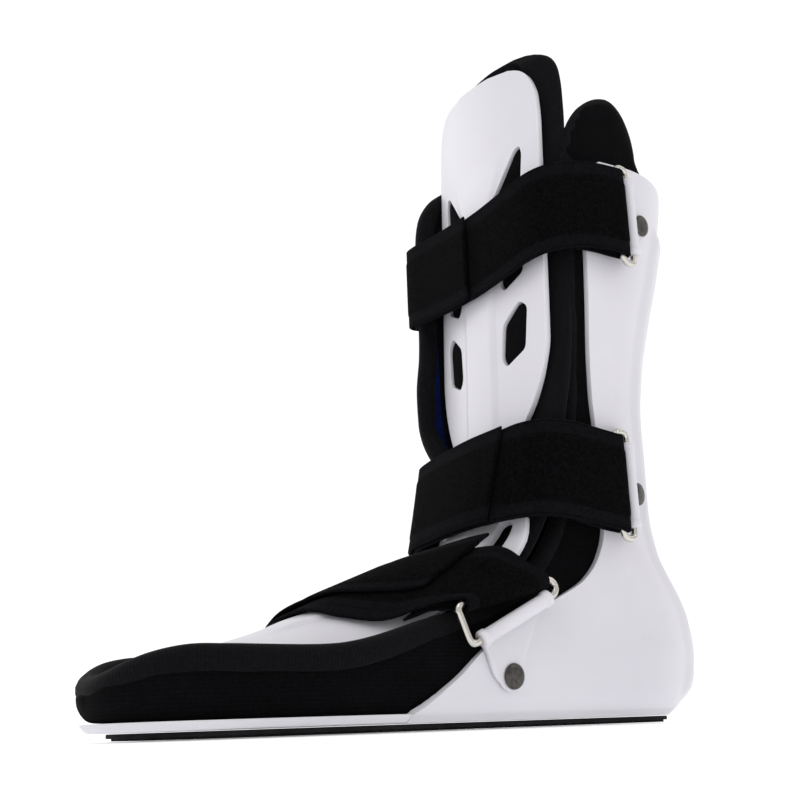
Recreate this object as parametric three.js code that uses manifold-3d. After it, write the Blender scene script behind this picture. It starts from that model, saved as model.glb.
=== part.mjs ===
// A foot drop brace: a white rear shell with foot plate, a white front shell, a padded liner boot,
// a padded tongue, three straps on wire rings, riveted anchor tabs and an anti-slip sole pad.
// Millimetres, +Z up, toes towards -Y, the outer (lateral) side of the foot at +X.
// The origin lies on the underside of the sole pad, below the leg.
import * as THREE from "three";
import Module from "manifold-3d";

const wasm = await Module();
wasm.setup();
const { Manifold } = wasm;

// Rear shell and foot plate
const footLength = 268;      // sets every length along the foot
const footWidth = 94;        // across the ball of the foot
const calfWidth = 104;       // across the top of the rear shell
const shellHeight = 247;     // top edge of the rear shell
const shellWall = 3;
const plateThickness = 3.2;
const spineRise = 2.5;       // raised panel down the back
const gap = 0.3;             // between neighbours

// Sole pad
const padThickness = 2.5;
const padToeSetback = 7;
const padEdgeSetback = 0.6;

// Front shell
const frontHeight = 306;     // top edge of the front shell
const frontLean = 0.13;      // how fast that edge falls towards the outer side
const frontWidth = 86;
const frontWall = 3;
const bandRise = 1.2;        // raised band down the middle

// Padding
const linerWall = 7;
const linerSole = 6;
const wingFlare = 4.5;         // how far the inner wing stands out round the tongue
const tongueWall = 6.5;
const tongueRise = 9;        // tongue above the front shell
const tongueMargin = 2.5;    // tongue beyond the front shell's sides
const innerNarrower = 0.9;   // the tongue's inner half against its outer half

// Straps, rings and anchors
const strapWidth = 42;
const strapThickness = 2;
const foldLength = 24;       // a fold round a ring, until its two layers lie together
const wireRadius = 1.5;
const ringSpare = 0.8;       // between a strap's edge and the ring's end
const sleeveRadius = 3.1;
const sleeveLength = 37;
const flapThickness = 1.6;
const flapSeat = 0.5;        // under the flap, which is straighter than the shell
const rivetHeadRadius = 5;
const rivetHeadHeight = 1.3;
const rivetShankRadius = 2;

const plateBottom = padThickness + gap;
const plateTop = plateBottom + plateThickness;
const wireClear = wireRadius + gap;
const tongueEdge = frontWidth / 2 + tongueMargin;

// Rows of named values
const table = (names, rows) => rows.map((row) => (
  Object.fromEntries(names.map((name, i) => [name, row[i]]))));

// Form of the foot and leg that the shell follows, one row a level.
// level: share of shellHeight above the plate's underside; centre, back, start, toe: shares of
// footLength; half: share of calfWidth; flare: share of footWidth; leg: how far the row is leg, not foot
const formRows = table(["level", "centre", "back", "half", "start", "toe", "flare", "leg", "spine"], [
  [0.0, 0.076, 0.191, 0.298, -0.56, -0.754, -0.011, 0, 0],
  [0.017, 0.089, 0.213, 0.317, -0.56, -0.769, 0.01, 0, 0],
  [0.038, 0.096, 0.2265, 0.334, -0.56, -0.787, 0.029, 0, 1],
  [0.07, 0.1045, 0.237, 0.342, -0.56, -0.793, 0.038, 0, 1],
  [0.111, 0.106, 0.241, 0.348, -0.55, -0.769, 0.045, 0.1, 1],
  [0.169, 0.097, 0.234, 0.354, -0.41, -0.62, 0.045, 0.4, 1],
  [0.21, 0.079, 0.218, 0.359, -0.3, -0.48, 0.045, 0.7, 1],
  [0.242, 0.059, 0.2, 0.3625, -0.22, -0.39, 0.045, 1, 1],
  [0.283, 0.038, 0.181, 0.367, -0.168, -0.33, 0, 1, 1],
  [0.357, 0.0216, 0.168, 0.378, -0.142, -0.28, 0, 1, 1],
  [0.447, 0.015, 0.167, 0.394, -0.142, -0.24, 0, 1, 1],
  [0.541, 0.002, 0.165, 0.421, -0.142, -0.24, 0, 1, 1],
  [0.623, 0.0015, 0.174, 0.445, -0.142, -0.24, 0, 1, 1],
  [0.717, 0.014, 0.1955, 0.466, -0.142, -0.24, 0, 1, 1],
  [0.8075, 0.035, 0.221, 0.479, -0.142, -0.24, 0, 1, 1],
  [0.893, 0.053, 0.242, 0.4875, -0.142, -0.24, 0, 1, 1],
  [0.914, 0.056, 0.246, 0.49, -0.142, -0.24, 0, 1, 0],
  [1.0, 0.066, 0.26, 0.5, -0.142, -0.24, 0, 1, 0],
  [1.2, 0.067, 0.261, 0.5, -0.142, -0.24, 0, 1, 0],
]);

// Plan of the sole: along is a share of footLength, the sides are shares of footWidth
const planRows = [
  { along: -0.6, lateral: 0.478, medial: 0.484 },
  { along: -0.466, lateral: 0.499, medial: 0.497 },
  { along: -0.362, lateral: 0.473, medial: 0.457 },
  { along: -0.261, lateral: 0.42, medial: 0.38 },
  { along: -0.164, lateral: 0.383, medial: 0.33 },
  { along: -0.075, lateral: 0.36, medial: 0.32 },
  { along: 0.0, lateral: 0.347, medial: 0.335 },
  { along: 0.1, lateral: 0.34, medial: 0.34 },
];

// Side edges as shares of footLength (along) and shellHeight (up)
const shellEdgeLateral = [
  { along: -0.37, up: 0.0 }, { along: -0.362, up: 0.0243 }, { along: -0.347, up: 0.032 },
  { along: -0.313, up: 0.057 }, { along: -0.28, up: 0.081 }, { along: -0.25, up: 0.108 },
  { along: -0.187, up: 0.154 }, { along: -0.116, up: 0.19 }, { along: -0.075, up: 0.21 },
  { along: -0.036, up: 0.234 }, { along: -0.008, up: 0.27 }, { along: 0.006, up: 0.31 },
  { along: 0.011, up: 0.364 }, { along: 0.006, up: 0.43 }, { along: -0.004, up: 0.5 },
  { along: -0.012, up: 0.56 }, { along: -0.016, up: 0.65 }, { along: -0.015, up: 0.8 },
  { along: -0.011, up: 0.93 }, { along: -0.004, up: 0.975 }, { along: 0.022, up: 1.0 },
];
const shellEdgeMedial = [
  { along: -0.53, up: 0.0 }, { along: -0.52, up: 0.0243 }, { along: -0.49, up: 0.05 },
  { along: -0.45, up: 0.09 }, { along: -0.38, up: 0.12 }, { along: -0.28, up: 0.15 },
  { along: -0.18, up: 0.18 }, { along: -0.116, up: 0.2 }, { along: -0.075, up: 0.214 },
  { along: -0.036, up: 0.236 }, { along: -0.008, up: 0.27 }, { along: 0.006, up: 0.31 },
  ...shellEdgeLateral.slice(12),
];
const linerEdgeFoot = table(["along", "up"], [
  [-0.86, 0.05], [-0.795, 0.055], [-0.778, 0.071], [-0.757, 0.09], [-0.72, 0.105], [-0.66, 0.11],
  [-0.6, 0.109], [-0.46, 0.111], [-0.328, 0.148], [-0.276, 0.166], [-0.187, 0.21],
  [-0.13, 0.25], [-0.093, 0.3],
]);
const linerEdgeLateral = [...linerEdgeFoot, ...table(["along", "up"], [
  [-0.071, 0.35], [-0.056, 0.42], [-0.052, 0.6], [-0.048, 0.94], [-0.035, 1.04], [-0.007, 1.105],
  [0.028, 1.142], [0.067, 1.155], [0.1, 1.13], [0.122, 1.08], [0.133, 1.02], [0.17, 0.998],
])];
const linerEdgeMedial = [...linerEdgeFoot, ...table(["along", "up"], [
  [-0.084, 0.35], [-0.098, 0.4], [-0.116, 0.47], [-0.125, 0.55], [-0.128, 0.65], [-0.119, 0.75],
  [-0.118, 0.99], [-0.105, 1.055], [-0.08, 1.085], [-0.05, 1.105], [-0.01, 1.128],
  [0.03, 1.15], [0.065, 1.16], [0.1, 1.135], [0.122, 1.08], [0.133, 1.02], [0.17, 0.998],
])];

// Front shell from its top edge down the shin, round the ankle and out to its tip on the foot.
// along: share of footLength; half: share of frontWidth;
// up: share of shellHeight, and over 1 the share of what stands above it, up to frontHeight at 2;
// crown: how far the sides drop back at the full half width, as a share of frontWidth
const frontRows = table(["along", "up", "half", "crown"], [
  [-0.0955, 2, 0.14, 0.076], [-0.0957, 1.99, 0.25, 0.076], [-0.0961, 1.963, 0.335, 0.076],
  [-0.0967, 1.908, 0.41, 0.076], [-0.0978, 1.807, 0.458, 0.076], [-0.0992, 1.639, 0.49, 0.076],
  [-0.101, 1.353, 0.5, 0.076], [-0.106, 0.929, 0.5, 0.076], [-0.1105, 0.7842, 0.5, 0.076],
  [-0.1145, 0.6575, 0.497, 0.076], [-0.116, 0.6032, 0.468, 0.076], [-0.118, 0.5489, 0.407, 0.08],
  [-0.12, 0.5067, 0.33, 0.085], [-0.123, 0.4645, 0.24, 0.09], [-0.129, 0.4162, 0.2, 0.1],
  [-0.139, 0.3764, 0.24, 0.1], [-0.149, 0.3523, 0.4, 0.1], [-0.17, 0.3257, 0.425, 0.16],
  [-0.226, 0.2871, 0.41, 0.27], [-0.298, 0.2473, 0.375, 0.33], [-0.392, 0.2027, 0.355, 0.38],
  [-0.47, 0.1731, 0.335, 0.36], [-0.52, 0.1568, 0.3, 0.28], [-0.552, 0.1466, 0.235, 0.2],
  [-0.571, 0.1406, 0.15, 0.19], [-0.578, 0.1381, 0.06, 0.19],
]);

// Slots on one side of the shin, corners as shares of frontWidth (across) and up as in frontRows
const slotShapes = [
  [[0.385, 1.124], [0.37, 1.194], [0.335, 1.182], [0.24, 1.007],
    [0.15, 0.959], [0.16, 0.923], [0.36, 0.923]],
  [[0.385, 0.8747], [0.32, 0.8831], [0.205, 0.8469], [0.19, 0.7842], [0.225, 0.7673], [0.365, 0.7902]],
  [[0.385, 0.7239], [0.325, 0.7384], [0.205, 0.7022], [0.19, 0.637], [0.225, 0.6201], [0.365, 0.6431]],
];
// The long slot on each side of the instep: shares of footLength, shellHeight and frontWidth
const instepSlot = {
  fromAlong: -0.151, fromUp: 0.3487, toAlong: -0.2, toUp: 0.3016, inner: 0.25, outer: 0.345,
};

// Anchor tabs: along, up: middle of the sleeve; tilt of the sleeve off vertical; reach: sleeve to rivet;
// skew: how far the rivet lies along the sleeve; both are shares of sleeveLength
const anchorRows = table(["name", "side", "along", "up", "tilt", "reach", "skew"], [
  ["upper", 1, 0.067, 0.89, 0, 0.2622, 0],
  ["ankle", 1, 0.052, 0.397, 0, 0.2162, -0.0541],
  ["instep", 1, -0.192, 0.164, 63, 0.5135, -0.2703],
  ["upper", -1, 0.067, 0.89, 0, 0.2622, 0],
  ["ankle", -1, 0.052, 0.397, 0, 0.2162, -0.0541],
  ["instep", -1, -0.385, 0.11, 70, 0.3243, -0.0811],
]);
const anchors = anchorRows.map((row) => (
  { ...row, reach: row.reach * sleeveLength, skew: row.skew * sleeveLength }));

// Lie of the straps' bodies, from the outer side round the front to the inner side.
// Leg straps: across is a share of calfWidth, top and bottom (the edges' places along the foot) are
// shares of footLength, dip is a share of strapWidth
const upperLie = table(["across", "top", "bottom", "dip"], [
  [0.575, 0.037, 0.037, 0], [0.555, 0.0, 0.0, -0.03], [0.522, -0.04, -0.04, -0.04],
  [0.482, -0.083, -0.083, 0.01], [0.41, -0.111, -0.111, 0.08], [0.27, -0.124, -0.124, 0.16],
  [0.09, -0.129, -0.129, 0.2], [-0.1, -0.13, -0.13, 0.19], [-0.3, -0.13, -0.13, 0.15],
  [-0.45, -0.13, -0.13, 0.11], [-0.532, -0.119, -0.119, 0.07], [-0.55, -0.088, -0.088, 0.04],
  [-0.535, -0.04, -0.04, 0.01], [-0.516, 0.035, 0.035, 0],
]);
const ankleLie = table(["across", "top", "bottom", "dip"], [
  [0.469, 0.022, 0.022, 0], [0.459, -0.02, -0.03, -0.05], [0.445, -0.058, -0.075, -0.1],
  [0.418, -0.1, -0.125, -0.12], [0.34, -0.134, -0.164, -0.1], [0.2, -0.146, -0.191, -0.07],
  [0.06, -0.153, -0.198, -0.05], [-0.1, -0.153, -0.198, -0.03], [-0.28, -0.149, -0.192, -0.01],
  [-0.4, -0.14, -0.168, 0], [-0.466, -0.116, -0.138, 0], [-0.478, -0.075, -0.09, 0],
  [-0.46, -0.03, -0.04, 0], [-0.427, 0.021, 0.021, 0],
]);
// Instep strap: for the edge towards the toes and the edge towards the leg, x as a share of footWidth,
// y of footLength, z of shellHeight
const instepLie = table(["toe", "leg"], [
  [[0.5, -0.28, 0.193], [0.5, -0.134, 0.235]], [[0.453, -0.306, 0.19], [0.457, -0.159, 0.257]],
  [[0.399, -0.34, 0.178], [0.41, -0.188, 0.281]], [[0.314, -0.381, 0.164], [0.3, -0.218, 0.283]],
  [[0.202, -0.424, 0.173], [0.2, -0.248, 0.277]], [[0.074, -0.457, 0.187], [0.085, -0.278, 0.268]],
  [[-0.053, -0.472, 0.183], [-0.043, -0.304, 0.257]], [[-0.176, -0.478, 0.173], [-0.16, -0.326, 0.237]],
  [[-0.287, -0.476, 0.152], [-0.27, -0.341, 0.211]], [[-0.394, -0.472, 0.134], [-0.39, -0.347, 0.186]],
  [[-0.465, -0.466, 0.128], [-0.465, -0.341, 0.18]], [[-0.503, -0.459, 0.113], [-0.503, -0.33, 0.164]],
]);
// tab: how far back the free layer reaches, as a share of the body's length; skew: how far its free end
// lies off the body towards the leg, and trim: how far its other edge is drawn in, shares of strapWidth
const straps = [
  { name: "upper", tab: 0.49, skew: 0, trim: 0 },
  { name: "ankle", tab: 0.56, skew: 0, trim: 0 },
  { name: "instep", tab: 0.78, skew: 0.16, trim: 0.3 },
];

const clamp = THREE.MathUtils.clamp;
const lerp = THREE.MathUtils.lerp;
const smooth = THREE.MathUtils.smoothstep;
const degrees = THREE.MathUtils.degToRad;

// Reads a table of rows at a value of its key column, in straight steps between rows
function readRows(rows, key, value) {
  const last = rows.length - 1;
  let i = 0;
  while (i < last - 1 && value > rows[i + 1][key]) i += 1;
  const k = clamp((value - rows[i][key]) / (rows[i + 1][key] - rows[i][key]), 0, 1);
  const out = {};
  for (const name of Object.keys(rows[i])) out[name] = lerp(rows[i][name], rows[i + 1][name], k);
  return out;
}

// Turns rings of points, each a closed loop, into one closed solid; flat gives a point's place in the cap
function loft(rings, flat) {
  const count = rings[0].length;
  const vertices = rings.flat().flatMap((p) => [p.x, p.y, p.z]);
  const faces = [];
  for (let r = 0; r < rings.length - 1; r += 1) {
    for (let i = 0; i < count; i += 1) {
      const j = (i + 1) % count;
      const a = r * count;
      const b = a + count;
      faces.push([a + i, a + j, b + j], [a + i, b + j, b + i]);
    }
  }
  const top = (rings.length - 1) * count;
  const plan = rings[0].map(flat);
  const turned = THREE.ShapeUtils.isClockWise(plan);
  for (const [a, b, c] of THREE.ShapeUtils.triangulateShape(plan, [])) {
    if (turned) faces.push([a, b, c], [top + c, top + b, top + a]);
    else faces.push([c, b, a], [top + a, top + b, top + c]);
  }
  return solidFrom(vertices, faces);
}

// Closed solid from points and faces, turned right side out
function solidFrom(vertices, faces) {
  let volume = 0;
  const p = (i) => new THREE.Vector3(vertices[3 * i], vertices[3 * i + 1], vertices[3 * i + 2]);
  for (const [a, b, c] of faces) volume += p(a).dot(p(b).cross(p(c)));
  const turned = volume < 0 ? faces.map(([a, b, c]) => [a, c, b]) : faces;
  return new Manifold(new wasm.Mesh({
    numProp: 3,
    vertProperties: new Float32Array(vertices),
    triVerts: new Uint32Array(turned.flat()),
  }));
}

// A sheet with thickness: two grids of points, front and rear, joined round their rims
function sheet(front, rear) {
  const rows = front.length;
  const columns = front[0].length;
  const vertices = [...front.flat(), ...rear.flat()].flatMap((p) => [p.x, p.y, p.z]);
  const a = (r, c) => r * columns + c;
  const b = (r, c) => rows * columns + r * columns + c;
  const faces = [];
  const quad = (w, x, y, z) => faces.push([w, x, y], [w, y, z]);
  for (let r = 0; r < rows - 1; r += 1) {
    for (let c = 0; c < columns - 1; c += 1) {
      quad(a(r, c), a(r, c + 1), a(r + 1, c + 1), a(r + 1, c));
      quad(b(r, c), b(r + 1, c), b(r + 1, c + 1), b(r, c + 1));
    }
    quad(a(r, 0), a(r + 1, 0), b(r + 1, 0), b(r, 0));
    quad(a(r, columns - 1), b(r, columns - 1), b(r + 1, columns - 1), a(r + 1, columns - 1));
  }
  for (let c = 0; c < columns - 1; c += 1) {
    quad(a(0, c), b(0, c), b(0, c + 1), a(0, c + 1));
    quad(a(rows - 1, c), a(rows - 1, c + 1), b(rows - 1, c + 1), b(rows - 1, c));
  }
  return solidFrom(vertices, faces);
}

const group = new THREE.Group();

const finishes = {
  shell: { color: "#e4e2e9", roughness: 0.35, metalness: 0 },
  liner: { color: "#17181b", roughness: 0.9, metalness: 0 },
  strap: { color: "#121315", roughness: 0.95, metalness: 0 },
  pad: { color: "#1d1d1f", roughness: 0.85, metalness: 0 },
  ring: { color: "#cfcbc4", roughness: 0.2, metalness: 1 },
  rivet: { color: "#6a6a6c", roughness: 0.35, metalness: 1 },
};

function addPiece(name, solid, finish) {
  const mesh = solid.getMesh();
  const geometry = new THREE.BufferGeometry();
  geometry.setAttribute("position", new THREE.BufferAttribute(Float32Array.from(mesh.vertProperties), 3));
  geometry.setIndex(new THREE.BufferAttribute(Uint32Array.from(mesh.triVerts), 1));
  geometry.computeVertexNormals();
  const piece = new THREE.Mesh(geometry, new THREE.MeshStandardMaterial(finishes[finish]));
  piece.name = name;
  group.add(piece);
}

// Level of the form as a share, and its row in millimetres
function formAt(z) {
  const row = readRows(formRows, "level", (z - plateBottom) / (shellHeight - plateBottom));
  return {
    centre: row.centre * footLength,
    back: row.back * footLength,
    half: row.half * calfWidth,
    start: row.start * footLength,
    toe: row.toe * footLength,
    flare: row.flare * footWidth,
    leg: row.leg,
    spine: row.spine,
  };
}

// Outer half width of the form on one side, at a place along the foot
function halfWidth(side, y, form) {
  const plan = readRows(planRows, "along", y / footLength);
  const foot = footWidth * (side > 0 ? plan.lateral : plan.medial) + form.flare;
  return lerp(foot, form.half, form.leg);
}

// Distance of the form's surface from the middle plane at a place (y, z), moved out by off
function formX(side, y, z, off) {
  const form = formAt(z);
  const half = halfWidth(side, Math.min(y, form.centre), form) + off;
  if (y <= form.centre) return side * half;
  const share = clamp((y - form.centre) / (form.back + off - form.centre), 0, 1);
  return side * half * Math.sqrt(1 - share * share);
}

const arcAngles = [13, 26, 39, 50.5, 53.5, 66, 78, 90];   // from the back round to the side
const spineAngle = 52;                                     // the raised panel's edge
const sideSteps = 6;
const toeAngles = [22, 44, 64, 80];

// One half of the form's outline at a level, from the back to the toe
function halfOutline(side, z, inset, options) {
  const form = formAt(z);
  const { rise = 0, wing = 0, toeSetback = 0 } = options;
  const lift = rise * form.spine;
  const points = [];
  const centreHalf = halfWidth(side, form.centre, form) - inset;
  const depth = form.back - inset - form.centre;
  for (const angle of arcAngles) {
    const out = angle < spineAngle ? lift : 0;
    const a = degrees(angle);
    points.push([side * (centreHalf + out) * Math.sin(a), form.centre + (depth + out) * Math.cos(a)]);
  }
  for (let i = 1; i <= sideSteps; i += 1) {
    const y = lerp(form.centre, form.start, i / sideSteps);
    const half = halfWidth(side, y, form) - inset;
    const spread = side < 0 ? wing * smooth(-y, 0.032 * footLength, 0.075 * footLength) : 0;
    const wingHalf = tongueEdge + gap + linerWall + shellWall + gap - inset;
    points.push([side * lerp(half, Math.max(half, wingHalf), spread), y]);
  }
  const [endX, endY] = points[points.length - 1];
  const toe = form.toe + inset + toeSetback;
  for (const angle of toeAngles) {
    const a = degrees(angle);
    points.push([endX * Math.cos(a) ** 0.8, endY + (toe - endY) * Math.sin(a)]);
  }
  return { points, back: form.back - inset + lift, toe };
}

function outline(z, inset, options = {}) {
  const left = halfOutline(1, z, inset, options);
  const right = halfOutline(-1, z, inset, options);
  const loop = [[0, left.back], ...left.points, [0, left.toe], ...right.points.reverse()];
  return loop.map(([x, y]) => new THREE.Vector3(x, y, z));
}

// Solid of the form between two levels
function formSolid(low, high, inset, options = {}) {
  const levels = formRows.map((row) => plateBottom + row.level * (shellHeight - plateBottom));
  const inside = levels.filter((z) => z > low + 0.5 && z < high - 0.5);
  const wingAt = (z) => (options.wing ?? 0) * smooth(z / shellHeight, 0.45, 0.58);
  const rings = [low, ...inside, high].map((z) => outline(z, inset, { ...options, wing: wingAt(z) }));
  return loft(rings, (p) => new THREE.Vector2(p.x, p.y));
}

// Block with a side view given by a row of edge points, from the sole up to the top edge
function sideBlock(edge, fromX, toX, top, steps) {
  const knots = edge.map((p) => new THREE.Vector2(p.along * footLength, p.up * shellHeight));
  const curve = new THREE.SplineCurve(knots).getPoints(steps);
  const behind = footLength;
  const below = -padThickness;
  const front = -footLength;
  const corners = [
    new THREE.Vector2(behind, below), new THREE.Vector2(front, below), new THREE.Vector2(front, top),
    ...curve.filter((p) => p.y > top + 0.2),
    new THREE.Vector2(behind, curve[curve.length - 1].y),
  ];
  const rings = [fromX, toX].map((x) => corners.map((p) => new THREE.Vector3(x, p.x, p.y)));
  return loft(rings, (p) => new THREE.Vector2(p.y, p.z));
}

function bothSides(lateral, medial, top, steps) {
  const wide = calfWidth;
  return sideBlock(lateral, 0, wide, top, steps).add(sideBlock(medial, -wide, 0.001, top, steps));
}

// Place of a rivet on the form, with the direction off the surface
function rivetFrame(anchor) {
  const place = anchorPoint(anchor, anchor.skew, anchor.reach, 0);
  const step = rivetShankRadius;
  const xAt = (y, z) => formX(anchor.side, y, z, 0);
  const alongY = xAt(place.y + step, place.z) - xAt(place.y - step, place.z);
  const alongZ = xAt(place.y, place.z + step) - xAt(place.y, place.z - step);
  const out = new THREE.Vector3(2 * step, -alongY, -alongZ).multiplyScalar(anchor.side).normalize();
  const across = new THREE.Vector3(0, 0, 1).cross(out).normalize();
  return { place, out, across, rise: out.clone().cross(across) };
}

// Round body about a rivet's middle line; profile rows are radius and distance off the form
function rivetBody(anchor, profile, sides) {
  const { place, out, across, rise } = rivetFrame(anchor);
  const rings = profile.map(([radius, off]) => Array.from({ length: sides }, (_, i) => {
    const a = (2 * Math.PI * i) / sides;
    return place.clone().addScaledVector(out, off)
      .addScaledVector(across, radius * Math.cos(a)).addScaledVector(rise, radius * Math.sin(a));
  }));
  const flat = (i) => degrees((360 * i) / sides);
  return loft(rings, (p, i) => new THREE.Vector2(Math.cos(flat(i)), Math.sin(flat(i))));
}

function rivetHole(anchor) {
  const radius = rivetShankRadius + gap;
  return rivetBody(anchor, [[radius, -2 * shellWall], [radius, 3 * flapThickness]], 10);
}

// Middle of the sleeve and its directions: across is along the sleeve, down points to the rivet
function anchorFrame(anchor) {
  const y = anchor.along * footLength;
  const z = anchor.up * shellHeight;
  const a = degrees(anchor.tilt);
  return {
    y, z,
    across: new THREE.Vector2(Math.sin(a), Math.cos(a)),
    down: new THREE.Vector2(Math.cos(a), -Math.sin(a)),
  };
}

function anchorPoint(anchor, across, down, off) {
  const frame = anchorFrame(anchor);
  const y = frame.y + across * frame.across.x + down * frame.down.x;
  const z = frame.z + across * frame.across.y + down * frame.down.y;
  return new THREE.Vector3(formX(anchor.side, y, z, off), y, z);
}

function buildRearShell() {
  const outer = formSolid(plateBottom, shellHeight, 0, { rise: spineRise });
  const inner = formSolid(plateTop, shellHeight + 1, shellWall);
  const block = bothSides(shellEdgeLateral, shellEdgeMedial, plateTop, 34);
  let shell = outer.subtract(inner).intersect(block);
  for (const anchor of anchors) shell = shell.subtract(rivetHole(anchor));
  addPiece("rear_shell", shell, "shell");
}

function buildSolePad() {
  const rings = [0, padThickness].map((z) => {
    const loop = outline(plateBottom, padEdgeSetback, { toeSetback: padToeSetback });
    return loop.map((p) => new THREE.Vector3(p.x, p.y, z));
  });
  addPiece("sole_pad", loft(rings, (p) => new THREE.Vector2(p.x, p.y)), "pad");
}

function buildLiner() {
  const inset = shellWall + gap;
  const floor = plateTop + gap;
  const top = 1.18 * shellHeight;
  const outer = formSolid(floor, top, inset, { wing: 1 });
  const inner = formSolid(floor + linerSole, top + 1, inset + linerWall, { wing: 1 });
  const block = bothSides(linerEdgeLateral, linerEdgeMedial, floor + 1, 38);
  addPiece("liner", outer.subtract(inner).intersect(block), "liner");
}

// Middle line of the front shell in side view, and the direction that faces the leg
const frontLevel = (up) => (up < 1 ? up * shellHeight : lerp(shellHeight, frontHeight, up - 1));
const frontLine = frontRows.map((row) => new THREE.Vector2(row.along * footLength, frontLevel(row.up)));

function frontInward(i) {
  const a = frontLine[Math.max(i - 1, 0)];
  const b = frontLine[Math.min(i + 1, frontLine.length - 1)];
  const run = b.clone().sub(a).normalize();
  return new THREE.Vector2(-run.y, run.x);
}

// Point of the front form: row, distance across, depth towards the leg
function frontPoint(i, x, depth, half) {
  const row = frontRows[i];
  const edge = Math.min(Math.abs(x), half);
  const drop = row.crown * frontWidth * (edge / (frontWidth / 2)) ** 2 + 0.2 * (Math.abs(x) - edge);
  const inward = frontInward(i);
  const at = frontLine[i].clone().addScaledVector(inward, depth + drop);
  return new THREE.Vector3(x, at.x, at.y);
}

const bandShares = [-1, -0.84, -0.62, -0.32, -0.27, 0, 0.27, 0.32, 0.62, 0.84, 1];

function buildFrontShell() {
  const grid = (depth, rise) => frontRows.map((row, i) => bandShares.map((share) => {
    const half = row.half * frontWidth;
    const x = share * half;
    const lift = Math.abs(share) < 0.3 ? rise : 0;
    const point = frontPoint(i, x, depth - lift, half);
    point.z -= frontLean * x * smooth(row.up, 1, 2);
    return point;
  }));
  let shell = sheet(grid(0, bandRise), grid(frontWall, 0));
  for (const side of [-1, 1]) {
    for (const corners of slotShapes) {
      const loop = corners.map(([across, up]) => [side * across * frontWidth, frontLevel(up)]);
      const rings = [-footLength, 0].map((y) => loop.map(([x, z]) => new THREE.Vector3(x, y, z)));
      shell = shell.subtract(loft(rings, (p) => new THREE.Vector2(p.x, p.z)));
    }
    shell = shell.subtract(instepCutter(side));
  }
  addPiece("front_shell", shell, "shell");
}

// Cutter for the long instep slot, square to the shell there
function instepCutter(side) {
  const s = instepSlot;
  const from = new THREE.Vector2(s.fromAlong * footLength, frontLevel(s.fromUp));
  const to = new THREE.Vector2(s.toAlong * footLength, frontLevel(s.toUp));
  const run = to.clone().sub(from).normalize();
  const inward = new THREE.Vector2(-run.y, run.x);
  const middle = (s.inner + s.outer) / 2;
  const half = (s.outer - s.inner) / 2;
  const length = from.distanceTo(to);
  const corners = [[-1, 0.12], [-0.4, 0], [0.4, 0], [1, 0.12], [1, 0.85], [0.2, 1], [-0.6, 1], [-1, 0.85]];
  const rings = [-4 * frontWall, 8 * frontWall].map((depth) => corners.map(([across, share]) => {
    const at = from.clone().addScaledVector(run, share * length).addScaledVector(inward, depth);
    return new THREE.Vector3(side * (middle + across * half) * frontWidth, at.x, at.y);
  }));
  return loft(rings, (p) => new THREE.Vector2(p.x, p.z - p.y));
}

// The tongue's half width at a height on the front line: wide on the shin, tucked inside the liner below
function tongueHalf(row) {
  const foot = 0.29 * frontWidth + tongueMargin;
  const across = lerp(foot, tongueEdge, smooth(row.up, 0.4, 0.6));
  return row.along < -0.5 ? Math.min(across, row.half * frontWidth + tongueMargin) : across;
}

function buildTongue() {
  const steps = [-1, -0.86, -0.6, -0.3, 0, 0.3, 0.6, 0.86, 1];
  const rows = frontRows.map((row, i) => i).filter((i) => i > 4 && i < frontRows.length - 1);
  const grid = (seat, wall) => {
    const depthAt = (share) => seat + wall * (1 - 0.3 * smooth(Math.abs(share), 0.8, 1));
    const body = rows.map((i) => steps.map((share) => {
      const half = tongueHalf(frontRows[i]) * (share < 0 ? innerNarrower : 1);
      return frontPoint(i, share * half, depthAt(share), frontRows[i].half * frontWidth);
    }));
    const shape = table(["up", "wide"], [[1, 0.45], [0.7, 0.68], [-0.6, 0.87]]);
    const head = shape.map(({ up, wide }) => steps.map((share) => {
      const x = share * wide * tongueEdge * (share < 0 ? innerNarrower : 1);
      const point = frontPoint(0, x, depthAt(share), 0.5 * frontWidth);
      point.z += up * tongueRise;
      return point;
    }));
    return [...head, ...body];
  };
  const seat = frontWall + 3 * gap;
  addPiece("liner_tongue", sheet(grid(seat, 0), grid(seat, tongueWall)), "liner");
}

// Body of a strap as stations, each with its two edges; the rows are joined by smooth curves
function strapBody(strap) {
  const anchor = anchors.find((one) => one.name === strap.name);
  const rows = { upper: upperLie, ankle: ankleLie }[strap.name];
  let edges;
  if (rows) {
    const middle = anchor.up * shellHeight;
    const edge = (key, side) => rows.map((row) => new THREE.Vector3(
      row.across * calfWidth, row[key] * footLength, middle + (side / 2 - row.dip) * strapWidth));
    edges = [edge("bottom", -1), edge("top", 1)];
  } else {
    const place = (p) => new THREE.Vector3(p[0] * footWidth, p[1] * footLength, p[2] * shellHeight);
    edges = [instepLie.map((row) => place(row.toe)), instepLie.map((row) => place(row.leg))];
  }
  const [low, high] = edges.map((points) => new THREE.CatmullRomCurve3(points, false, "centripetal"));
  const steps = 20;
  return Array.from({ length: steps + 1 }, (_, i) => i / steps).map((t) => (
    { low: low.getPoint(t), high: high.getPoint(t) }));
}

const middleOf = (station) => station.low.clone().add(station.high).multiplyScalar(0.5);
const widthOf = (station) => station.high.clone().sub(station.low).normalize();
const shifted = (station, by) => ({ low: station.low.clone().add(by), high: station.high.clone().add(by) });

// Directions square to the strap's width, along it and off its outer face, at every station
function strapFrames(stations) {
  return stations.map((station, i) => {
    const ahead = middleOf(stations[Math.min(i + 1, stations.length - 1)]);
    const run = ahead.sub(middleOf(stations[Math.max(i - 1, 0)])).normalize();
    const out = new THREE.Vector3().crossVectors(widthOf(station), run).normalize();
    return { out, run: new THREE.Vector3().crossVectors(out, widthOf(station)) };
  });
}

const turnRadius = wireClear + strapThickness / 2;

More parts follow.
